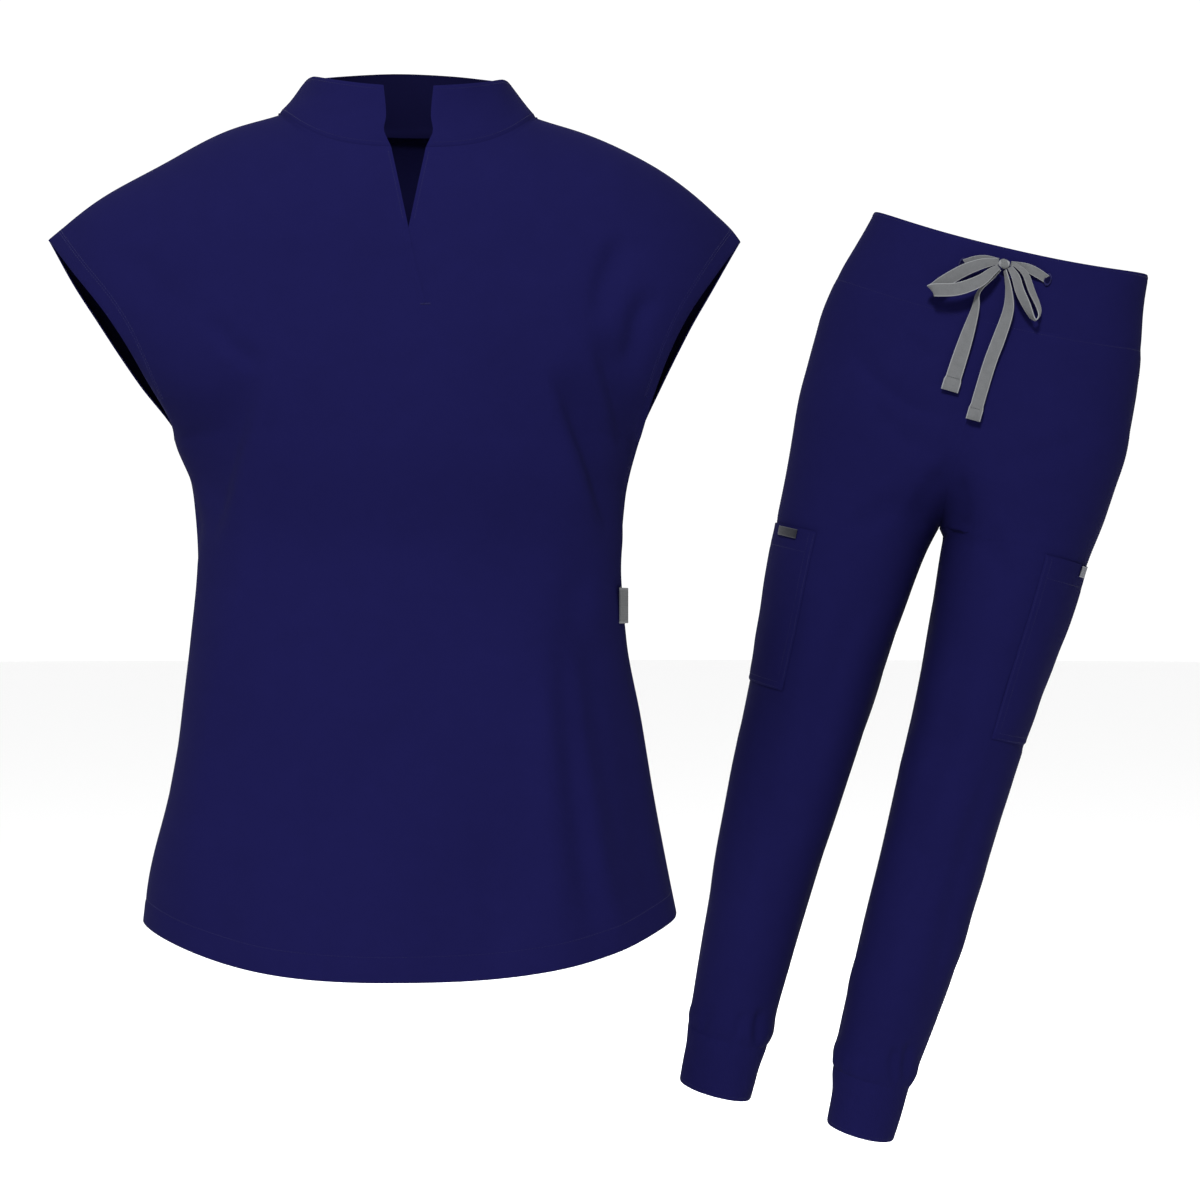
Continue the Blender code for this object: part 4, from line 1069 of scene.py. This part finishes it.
def add_top(name, face):
    halves = [top_half(side, face) for side in (-1, 1)]
    bm = sheet_mesh([(half[0], half[1], half[2]) for half in halves])
    turn_outward(bm, (0, 0, -0.35))
    piece = add_piece(name + "_cloth", bm, navy_twill, (name,), inside=navy_inside_shaded)
    thicken(piece, CLOTH)
    area = sum(flat_area(half[0]) for half in halves)
    return piece, halves, area


top_front, front_halves, front_area = add_top("top_front", -1)
top_back, back_halves, back_area = add_top("top_back", 1)


SEAM_SINK = 0.8 * MM  # how far the collar rolls in at the neck seam
TUCK = 1.3 * MM  # how far the collar's seam allowance lies inside the neck
CORNER_DROP = 2.6 * MM  # how much the top edge is rounded off at the two sides


def add_collar():
    """The stand collar: a doubled band with rounded front corners and a soft rolled top edge."""
    heights = [-0.09, -0.045, 0.0, 0.02] + [k / 14 for k in range(1, 14)] + [0.97, 1.0]
    rings = []
    for height in heights:
        half = NECK_HALF + (COLLAR_TOP_HALF - NECK_HALF) * max(0.0, height)
        start = math.asin(smooth_row(COLLAR_ENDS, height, 1) / half)
        front = [start + (math.pi / 2 - start) * s for s in spread(26, 1.15)]
        turns = front + [math.pi / 2 + math.pi / 2 * k / 26 for k in range(1, 27)]
        turns += [2 * math.pi - turn for turn in turns[-2::-1]]
        rings.append([collar_point(turn, height) for turn in turns])
    grid = np.array([[tuple(co) for co in ring] for ring in rings])
    outward = grid_normals(grid, np.array((0.0, 0.0, 0.0)))
    over, high = lengths(grid)
    lift = wander(over, high, 11, 0.05, 0.0006) * ease(high / 0.006)
    lift -= TUCK * ease(-np.array(heights)[:, None] / 0.045)
    lift -= SEAM_SINK * np.exp(-((np.array(heights)[:, None] / 0.03) ** 2))
    total = high.max(axis=0)[None, :]
    lift -= 0.5 * MM * ease(1 - (total - high) / (1.6 * MM))
    ends = np.minimum(over, over.max(axis=1)[:, None] - over)
    lift -= 0.4 * MM * ease(1 - ends / (1.6 * MM))
    moved = grid + outward * lift[:, :, None]
    side_on = np.exp(-(((np.abs(moved[:, :, 0]) - COLLAR_TOP_HALF) / 0.0045) ** 2))
    moved[:, :, 2] -= CORNER_DROP * side_on * np.clip(np.array(heights), 0, 1)[:, None] ** 3
    bm = sheet_mesh([(moved, over, high)])
    turn_outward(bm, (0, 0, 0.0))
    piece = add_piece("collar_cloth", bm, navy_twill, ("collar",), inside=navy_inside_shaded)
    thicken(piece, BAND_CLOTH)
    return piece, moved, outward, over


collar, collar_grid, collar_out, collar_over = add_collar()


TAB_CLEAR = 5.0 * MM  # keeps the tab on top of the cloth's own roundness


def add_side_tab():
    """The folded tape in the side seam, bare of any lettering."""
    route = smooth_route([(*place, 0.0) for place in SIDE_TAB_PATH], 8)
    heights = spread(12)
    low, high = SIDE_TAB_Z
    bm = bmesh.new()
    weave = bm.loops.layers.uv.new("weave")
    grid = []
    pushed = []
    for k, (x, y, _) in enumerate(route):
        clear = TAB_CLEAR * float(ease(1.6 * k / len(route)))
        pushed.append((x - clear, y - 0.9 * clear))
    for s in heights:
        grid.append([(bm.verts.new((x, y, low + (high - low) * s)), s) for x, y in pushed])
    for i in range(len(grid) - 1):
        for j in range(len(route) - 1):
            corners = (grid[i][j], grid[i][j + 1], grid[i + 1][j + 1], grid[i + 1][j])
            face = bm.faces.new([corner[0] for corner in corners])
            places = ((heights[i], j), (heights[i], j + 1), (heights[i + 1], j + 1), (heights[i + 1], j))
            for loop, (s, k) in zip(face.loops, places):
                loop[weave].uv = (s, k * 1.1 * MM)
    piece = add_piece("side_tab_cloth", bm, grey_tab, ("side_tab",))
    thicken(piece, TAB_THICK)
    return piece


side_tab = add_side_tab()

# ---- the trousers ----

LEG_COLUMNS = 46


def panel_levels(side):
    mouth, foot = POCKET_DROP[side]
    levels = list(np.linspace(WAIST_BAND + SEAM_LINE / 2, RISE_CURVE, 14))
    levels += list(np.linspace(RISE_CURVE, CROTCH, 42))[1:]
    levels += list(np.linspace(CROTCH, mouth, 10))[1:]
    levels += list(np.linspace(mouth, foot, 38))[1:]
    levels += list(np.linspace(foot, 0.79, 68))[1:]
    levels += list(np.linspace(0.79, CUFF_SEAM - SEAM_LINE / 2, 30))[1:]
    return levels


def trouser_panel(side, face):
    """One panel with its folds: points, weave coordinates and normals, in the trousers' frame."""
    levels = panel_levels(side)
    grid = []
    for drop in levels:
        sizes = level(drop, side, face)
        row = []
        for j in range(LEG_COLUMNS + 1):
            x, y, z = level_point(drop, j / LEG_COLUMNS, side, face, sizes)
            row.append((x + side * SEAM_LINE / 2, y + face * SEAM_LINE / 2, z))
        grid.append(row)
    grid = np.array(grid)
    centres = [side * level(drop, side, face)[1] for drop in levels]
    middle = np.array([[(x, 0.0, row[0][2])] for x, row in zip(centres, grid)])
    outward = grid_normals(grid, middle)
    across, down = grid[:, :, 0], np.array(levels)[:, None] * np.ones_like(grid[:, :, 0])
    folds = TROUSERS_FRONT_FOLDS if face < 0 else TROUSERS_BACK_FOLDS
    lift = fold_heights(across, down, folds) + wander(across, down, 31 + 2 * side + face, 0.09, 0.0026)
    over, high = lengths(grid)
    width = over.max(axis=1)[:, None]
    edge = np.minimum(over, width - over)
    above = CUFF_SEAM - down
    lift += 2.4 * MM * np.exp(-(((above - 0.013) / 0.011) ** 2))
    lift += gathers(over / width, 61 + 2 * side + face) * np.exp(-((above / 0.016) ** 2))
    mouth, foot = POCKET_DROP[side]
    turns = np.linspace(0, math.pi, LEG_COLUMNS + 1)[None, :]
    under = ease((POCKET_TURN + 0.14 - turns) / 0.10) * ease((down - mouth + 0.010) / 0.008)
    under = under * ease((foot + 0.010 - down) / 0.008)
    lift = lift * (1 - under) + np.minimum(lift, 0.0) * 0.6 * under
    calm = ease(edge / 0.008) * ease(high / 0.010) * ease((high.max(axis=0)[None, :] - high) / 0.003)
    moved = grid + outward * (lift * calm)[:, :, None]
    return moved, over, high, outward


def gathers(share, seed):
    """Small uneven puckers across a panel where a longer edge is eased into a shorter one."""
    spin = np.random.default_rng(seed)
    total = np.zeros_like(share)
    for place in np.linspace(0.06, 0.94, 11) + spin.uniform(-0.035, 0.035, 11):
        total -= spin.uniform(0.4, 1.6) * MM * np.exp(-(((share - place) / spin.uniform(0.012, 0.026)) ** 2))
    return total


def add_trouser_panel(name, side, face):
    moved, over, high, outward = trouser_panel(side, face)
    placed = leaned(moved.reshape(-1, 3)).reshape(moved.shape)
    bm = sheet_mesh([(placed, over, high)])
    centre = leaned([(side * 0.07, 0.0, -0.40)])[0]
    turn_outward(bm, centre)
    piece = add_piece(name + "_cloth", bm, navy_twill, (name,), inside=navy_inside_shaded)
    thicken(piece, CLOTH)
    return piece, moved, outward, flat_area(moved)


panels = {}
for side, word in ((-1, "left"), (1, "right")):
    for face, where in ((-1, "front"), (1, "back")):
        name = f"trousers_{where}_{word}"
        panels[name] = add_trouser_panel(name, side, face)


def ring_points(drop, count, side=0):
    """Points round the waist (side 0) or round one leg."""
    ring = []
    for k in range(count + 1):
        at = (k % count) / count
        if side:
            face, turn = (-1, 2 * at) if at < 0.5 else (1, 2 - 2 * at)
            ring.append(level_point(drop, turn, side, face, level(drop, side, face)))
        else:
            quarter, place = divmod(4 * at, 1)
            near, face = ((-1, -1), (1, -1), (1, 1), (-1, 1))[int(quarter)]
            turn = place if near * face > 0 else 1 - place
            ring.append(level_point(drop, turn, near, face, level(drop, near, face)))
    return ring


def add_band(name, drops, count, side, look, wall, relief):
    """A closed band of cloth round the waist or a leg, with its own relief."""
    grid = np.array([ring_points(drop, count, side) for drop in drops])
    middle = grid[:, :-1].mean(axis=1)[:, None, :]
    wrapped = np.concatenate((grid[:, -2:-1], grid, grid[:, 1:2]), axis=1)
    outward = grid_normals(wrapped, middle)[:, 1:-1]
    over, high = lengths(grid)
    lift = relief(over, high)
    moved = grid + outward * lift[:, :, None]
    moved[:, -1] = moved[:, 0]
    placed = leaned(moved.reshape(-1, 3)).reshape(moved.shape)
    bm = sheet_mesh([(placed, over, high)])
    turn_outward(bm, placed.reshape(-1, 3).mean(axis=0))
    piece = add_piece(name + "_cloth", bm, look, (name,))
    thicken(piece, wall)
    return piece, moved, outward, over[:, -1].mean(), flat_area(moved)


def waist_relief(over, high):
    total = high.max()
    lift = wander(over, high, 41, 0.07, 0.0008) * ease(high / 0.008) * ease((total - high) / 0.008)
    lift -= 0.6 * MM * ease(1 - high / (1.8 * MM))
    lift -= 0.25 * MM * np.exp(-(((high - 0.0035) / (0.9 * MM)) ** 2))
    return lift


def cuff_relief(over, high):
    total = high.max()
    round_end = 0.7 * MM * ease(1 - (total - high) / (2.0 * MM))
    ribs = 0.07 * MM * np.cos(over / (2.2 * MM) * 2 * math.pi)
    soft = wander(over, high, 47, 0.05, 0.0010) * ease(high / 0.006)
    return soft + ribs - round_end


waist_drops = [0.0, 0.0008, 0.002] + list(np.linspace(0.004, WAIST_BAND - SEAM_LINE / 2, 26))
waistband = add_band("waistband", waist_drops, 168, 0, navy_twill, BAND_CLOTH, waist_relief)
cuff_drops = list(np.linspace(CUFF_SEAM + SEAM_LINE / 2, CUFF_END - 0.002, 18))
cuff_drops += [CUFF_END - 0.0008, CUFF_END]
cuffs = {}
for side, word in ((-1, "left"), (1, "right")):
    name = f"cuff_{word}"
    cuffs[word] = add_band(name, cuff_drops, 420, side, navy_rib, BAND_CLOTH, cuff_relief)

# ---- cargo pockets and tabs ----


def thigh_skin(drop, turn, side):
    """A point round the outer thigh; turn is negative towards the front."""
    return trousers_point(drop, abs(turn) / math.pi, side, -1 if turn < 0 else 1)


def thigh_point(drop, turn, side, lift):
    """A point round the outer thigh, moved out, and the way out."""
    face = -1 if turn < 0 else 1
    step = math.radians(2)
    along = thigh_skin(drop, turn + step, side) - thigh_skin(drop, turn - step, side)
    down = thigh_skin(drop + 0.005, turn, side) - thigh_skin(drop - 0.005, turn, side)
    normal = along.cross(down).normalized()
    if normal.x * side < 0:
        normal = -normal
    co = thigh_skin(drop, turn, side) + Vector((side, face, 0)) * SEAM_GAP / 2
    return co + normal * lift, normal


def add_patch(name, side, drops, turns, lift, wall, look, relief):
    """A patch on the outer thigh, made from its points and moved out."""
    pairs = [[thigh_point(drop, turn, side, lift) for turn in turns] for drop in drops]
    grid = np.array([[tuple(pair[0]) for pair in row] for row in pairs])
    outward = np.array([[tuple(pair[1]) for pair in row] for row in pairs])
    over, high = lengths(grid)
    moved = grid + outward * relief(over, high)[:, :, None]
    placed = leaned(moved.reshape(-1, 3)).reshape(moved.shape)
    bm = sheet_mesh([(placed, over, high)])
    turn_outward(bm, leaned([(side * 0.07, 0.0, -(drops[0] + drops[-1]) / 2)])[0])
    piece = add_piece(name + "_cloth", bm, look, (name,))
    thicken(piece, wall)
    return piece, moved, outward, over, high


def pocket_relief(over, high):
    width, tall = over.max(axis=1)[:, None], high.max(axis=0)[None, :]
    edge = np.minimum(np.minimum(over, width - over), tall - high)
    inner = np.minimum(edge, high)
    puff = 1.2 * MM * ease(inner / 0.045) + wander(over, high, 53, 0.06, 0.0014) * ease(inner / 0.04)
    rolled = 1.0 * MM * ease(1 - edge / (1.8 * MM)) + 0.3 * MM
    seam = 0.3 * MM * np.exp(-(((edge - 0.0065) / (0.9 * MM)) ** 2))
    mouth = 0.3 * MM * np.exp(-(((high - 0.022) / (1.0 * MM)) ** 2))
    return puff - rolled - seam - mouth


pockets = {}
for side, word in ((-1, "left"), (1, "right")):
    mouth, foot = POCKET_DROP[side]
    drops = [mouth, mouth + 0.0008, mouth + 0.002] + list(np.linspace(mouth + 0.005, foot - 0.003, 44))
    drops += [foot - 0.001, foot]
    turns = [POCKET_TURN * at for at in (-1, -0.993, -0.98)]
    turns += list(np.linspace(-POCKET_TURN * 0.955, POCKET_TURN * 0.955, 46))
    turns += [POCKET_TURN * at for at in (0.98, 0.993, 1)]
    lift = POCKET_LIFT + CLOTH
    pockets[word] = add_patch(
        f"cargo_pocket_{word}", side, drops, turns, lift, CLOTH, navy_twill, pocket_relief
    )


def tab_relief(over, high):
    width, tall = over.max(axis=1)[:, None], high.max(axis=0)[None, :]
    edge = np.minimum(np.minimum(over, width - over), np.minimum(high, tall - high))
    return -0.3 * MM * ease(1 - edge / (0.7 * MM))


TAB_STAND = 0.2 * MM


def add_pocket_tab(word, side, look):
    drop, height, turn, length = POCKET_TAB[side]
    reach = length / smooth_row(TROUSERS_DEPTHS, drop, 1)
    turns = [-turn + reach * (s - 0.5) for s in spread(22)]
    drops = [drop + height * (s - 0.5) for s in (0, 0.04, 0.1, 0.25, 0.4, 0.5, 0.6, 0.75, 0.9, 0.96, 1)]
    lift = POCKET_LIFT + CLOTH + POCKET_TAB_LIFT + TAB_THICK + TAB_STAND
    made = add_patch(f"pocket_tab_{word}", side, drops, turns, lift, TAB_THICK, look, tab_relief)
    weave = made[0].data.uv_layers["weave"]
    for loop in weave.data:
        loop.uv = (loop.uv[1] / height, loop.uv[0])
    return made


pocket_tabs = {
    "left": add_pocket_tab("left", -1, dark_tab),
    "right": add_pocket_tab("right", 1, pale_tab),
}

# ---- the overlap below the notch ----

OVERLAP = ((-0.0002, -0.1072), (0.0045, -0.1300), (0.0092, -0.1500), (0.0128, -0.1660))
OVERLAP_LIFT = 0.35 * MM
TACK_PLACE, TACK_LENGTH = (0.0130, -0.1668), 0.0075


def front_place(x, z, lift=0.0):
    """A point on the folded front, and the way out of it, near the centre."""
    half = front_halves[1 if x >= 0 else 0]
    grid, outward = half[0], half[3]
    far = (grid[:, :, 0] - x) ** 2 + (grid[:, :, 2] - z) ** 2
    nearest = np.argsort(far, axis=None)[:4]
    weight = 1 / (far.ravel()[nearest] + 1e-8)
    weight /= weight.sum()
    depth = (grid[:, :, 1].ravel()[nearest] * weight).sum()
    out = (outward.reshape(-1, 3)[nearest] * weight[:, None]).sum(axis=0)
    out /= np.linalg.norm(out)
    return np.array((x, depth, z)) + out * lift, out


def add_overlap():
    """The left front's own edge, lying over the right front from the notch down to the tack."""
    route = smooth_route([(*place, 0.0) for place in OVERLAP], 14)
    across = (-1.0, -0.7, -0.4, -0.2, -0.08, 0.0)
    width = 0.0060
    bm = bmesh.new()
    weave = bm.loops.layers.uv.new("weave")
    grid = []
    for x, z, _ in route:
        row = []
        for share in across:
            lift = OVERLAP_LIFT * ease(1 + share) + 0.12 * MM - 0.35 * MM * ease(-share)
            co = front_place(x + share * width, z + share * width * 0.22, lift)[0]
            row.append((bm.verts.new(co), x + share * width, z))
        grid.append(row)
    for low, high in zip(grid, grid[1:]):
        for j in range(len(across) - 1):
            corners = (low[j], low[j + 1], high[j + 1], high[j])
            face = bm.faces.new([corner[0] for corner in corners])
            for loop, corner in zip(face.loops, corners):
                loop[weave].uv = corner[1:]
    bmesh.ops.recalc_face_normals(bm, faces=bm.faces)
    turn_outward(bm, (0, 0, -0.14))
    piece = add_piece("front_overlap_cloth", bm, navy_twill)
    return thicken(piece, 0.5 * MM)


overlap = add_overlap()


def satin(bm, centre, out, along, length, height, pitch, radius):
    """A dense bar of thread: stitches side by side along a short line, each across it."""
    centre, out, along = Vector(centre), Vector(out).normalized(), Vector(along).normalized()
    across = along.cross(out).normalized()
    count = max(2, round(length / pitch))
    for k in range(count):
        at = centre + along * (k / (count - 1) - 0.5) * length
        path = []
        for n in range(5):
            share = n / 4 - 0.5
            path.append((at + across * share * height + out * radius * (1.5 - 5 * share * share), out))
        add_stitch(bm, path, radius)


def add_tack():
    bm = bmesh.new()
    co, out = front_place(*TACK_PLACE, lift=0.2 * MM)
    satin(bm, co, out, (1, 0, 0.05), TACK_LENGTH, 1.1 * MM, 0.35 * MM, 0.15 * MM)
    return add_piece("bar_tack_thread", bm, navy_thread)


tack = add_tack()

# ---- buttonholes of the drawstring ----

EYELETS = ((-0.0405, 0.0412), (0.0420, 0.0371))
EYELET_SIZE = (0.0062, 0.0036)


def band_skin(x, drop):
    """A point of the waist front, just out from the band."""
    return Vector((x, -band_front(x, drop) - 0.35 * MM, -drop))


def add_eyelets():
    """A thread-bound slit for each end of the tape, with a dark disc within that paints the shade of the
    recess.
    """
    rims, holes = bmesh.new(), bmesh.new()
    for x, drop in EYELETS:
        centre = band_skin(x, drop)
        right = (band_skin(x + 0.002, drop) - band_skin(x - 0.002, drop)).normalized()
        down = (band_skin(x, drop + 0.002) - band_skin(x, drop - 0.002)).normalized()
        out = right.cross(down).normalized()
        out = out if out.y < 0 else -out
        ring, count = [], 54
        for k in range(count):
            angle = 2 * math.pi * k / count
            ray = right * math.cos(angle) * EYELET_SIZE[1] + down * math.sin(angle) * EYELET_SIZE[0]
            path = []
            for n in range(5):
                share = 0.66 + 0.34 * n / 4
                lift = 0.55 * MM * math.sin(math.pi * n / 4) - 0.1 * MM
                spot = leaned(centre + ray * share + out * lift)
                way = leaned(out) - leaned((0, 0, 0))
                path.append((Vector(spot), Vector(way)))
            add_stitch(rims, path, 0.28 * MM)
            ring.append(holes.verts.new(leaned(centre + ray * 0.72 + out * 0.12 * MM)))
        holes.faces.new(ring)
    # The disc takes the darker inner twill: painted shade where the slit opens into the casing.
    holes_piece = add_piece("eyelet_holes_cloth", holes, navy_inside_shaded)
    thicken(holes_piece, 0.2 * MM)
    return add_piece("eyelet_rims_thread", rims, navy_thread), holes_piece


eyelets = add_eyelets()

# ---- topstitching ----


def row_at(grid, outward, distance, axis=0, start=0, end=None):
    """Points a set distance in from an edge of a grid, along that edge."""
    lines, outs = [], []
    steps = grid if axis == 0 else grid.transpose(1, 0, 2)
    ways = outward if axis == 0 else outward.transpose(1, 0, 2)
    for j in range(steps.shape[1]):
        line, way = steps[:, j], ways[:, j]
        run = np.concatenate(([0.0], np.cumsum(np.linalg.norm(np.diff(line, axis=0), axis=1))))
        place = distance if distance >= 0 else run[-1] + distance
        lines.append([np.interp(place, run, line[:, k]) for k in range(3)])
        outs.append([np.interp(place, run, way[:, k]) for k in range(3)])
    return np.array(lines)[start:end], np.array(outs)[start:end]


def placed(run):
    """A run of points and ways out, taken from the trousers' frame to where they are."""
    points, outs = run
    return leaned(points), leaned(outs) - leaned(np.zeros((1, 3)))


def top_runs():
    runs = []
    for halves in (front_halves, back_halves):
        for moved, _, _, outward in halves:
            runs.append(row_at(moved, outward, HEM_DEPTH))
            rows = top_rows()
            under = rows.index(UNDERARM_ROW) if UNDERARM_ROW in rows else TOP_ROWS_BELOW + 2
            for inset in (SLEEVE_HEM, SLEEVE_HEM - 0.0022):
                line, outs = row_at(moved, outward, inset, axis=1)
                runs.append((line[under + 8 :], outs[under + 8 :]))
    for moved, _, _, outward in front_halves:
        line, outs = row_at(moved[:, ::-1], outward[:, ::-1], 0.0030, axis=1)
        slit = line[:, 2] > SLIT_APEX_Z + 0.006
        runs.append((line[slit][:-2], outs[slit][:-2]))
    return runs


def collar_runs():
    line, outs = row_at(collar_grid, collar_out, -0.0035)
    low, low_outs = row_at(collar_grid[2:], collar_out[2:], 0.0030)
    return [(line[1:-1], outs[1:-1]), (low[1:-1], low_outs[1:-1])]


def trouser_runs():
    runs = []
    for _, moved, outward, _ in panels.values():
        runs.append(placed(row_at(moved, outward, 0.0030)))
        for inset in (0.0020, 0.0075):
            line, outs = row_at(moved, outward, inset, axis=1)
            runs.append(placed((line[2:-3], outs[2:-3])))
    for _, moved, outward, _, _ in (waistband, *cuffs.values()):
        edge = 0.0030 if moved is waistband[1] else -0.0040
        runs.append(placed(row_at(moved, outward, edge)))
    for _, moved, outward, _, _ in pockets.values():
        for inset in (0.0020, 0.0075):
            runs.append(placed(row_at(moved, outward, -inset, start=4, end=-4)))
            for flip in (slice(None), slice(None, None, -1)):
                line, outs = row_at(moved[:, flip], outward[:, flip], inset, axis=1)
                runs.append(placed((line[2:-4], outs[2:-4])))
        runs.append(placed(row_at(moved, outward, 0.0220, start=4, end=-4)))
    return runs


top_stitches = add_stitches("tunic_topstitching", top_runs(), navy_thread)
collar_stitches = add_stitches("collar_topstitching", collar_runs(), navy_thread)
trouser_stitches = add_stitches("trousers_topstitching", trouser_runs(), navy_thread)

# ---- floor and light ----

FLOOR_Z = -1.42  # under the feet of a wearer whose neck is at the origin


def add_floor():
    bm = bmesh.new()
    bmesh.ops.create_circle(bm, cap_ends=True, segments=96, radius=40.0)
    mesh = bpy.data.meshes.new("floor")
    bm.to_mesh(mesh)
    bm.free()
    look = new_look("floor_paint", (0.985, 0.985, 0.985), 0.95)[0]
    mesh.materials.append(look)
    floor = bpy.data.objects.new("floor", mesh)
    floor.location = (0, 0, FLOOR_Z)
    bpy.context.scene.collection.objects.link(floor)


def add_light(name, place, aim, size, power, glossy=True):
    light = bpy.data.lights.new(name, "AREA")
    light.shape = "DISK"
    light.size = size
    light.energy = power
    lamp = bpy.data.objects.new(name, light)
    lamp.location = place
    lamp.visible_glossy = glossy
    lamp.rotation_euler = (Vector(aim) - Vector(place)).to_track_quat("-Z", "Y").to_euler()
    bpy.context.scene.collection.objects.link(lamp)


add_floor()
add_light("key", (-0.55, -3.4, 2.7), (0.25, 0.2, -0.4), 0.9, 420)

add_light("fill", (0.9, 4.4, 2.4), (0.2, 0.2, -0.4), 1.6, 260, glossy=False)


def add_world():
    """A white surround, a little dimmer on the right, so that forms turn away softly."""
    world = bpy.data.worlds.new("studio")
    bpy.context.scene.world = world
    world.use_nodes = True
    tree = world.node_tree
    place = tree.nodes.new("ShaderNodeTexCoord")
    apart = tree.nodes.new("ShaderNodeSeparateXYZ")
    tree.links.new(place.outputs["Generated"], apart.inputs[0])
    dim = tree.nodes.new("ShaderNodeMapRange")
    dim.interpolation_type = "SMOOTHSTEP"
    for name, value in (("From Min", 0.34), ("From Max", 0.95), ("To Min", 1.07), ("To Max", 0.15)):
        dim.inputs[name].default_value = value
    tree.links.new(apart.outputs["X"], dim.inputs["Value"])
    background = tree.nodes["Background"]
    background.inputs["Color"].default_value = (1, 1, 1, 1)
    tree.links.new(dim.outputs["Result"], background.inputs["Strength"])


add_world()
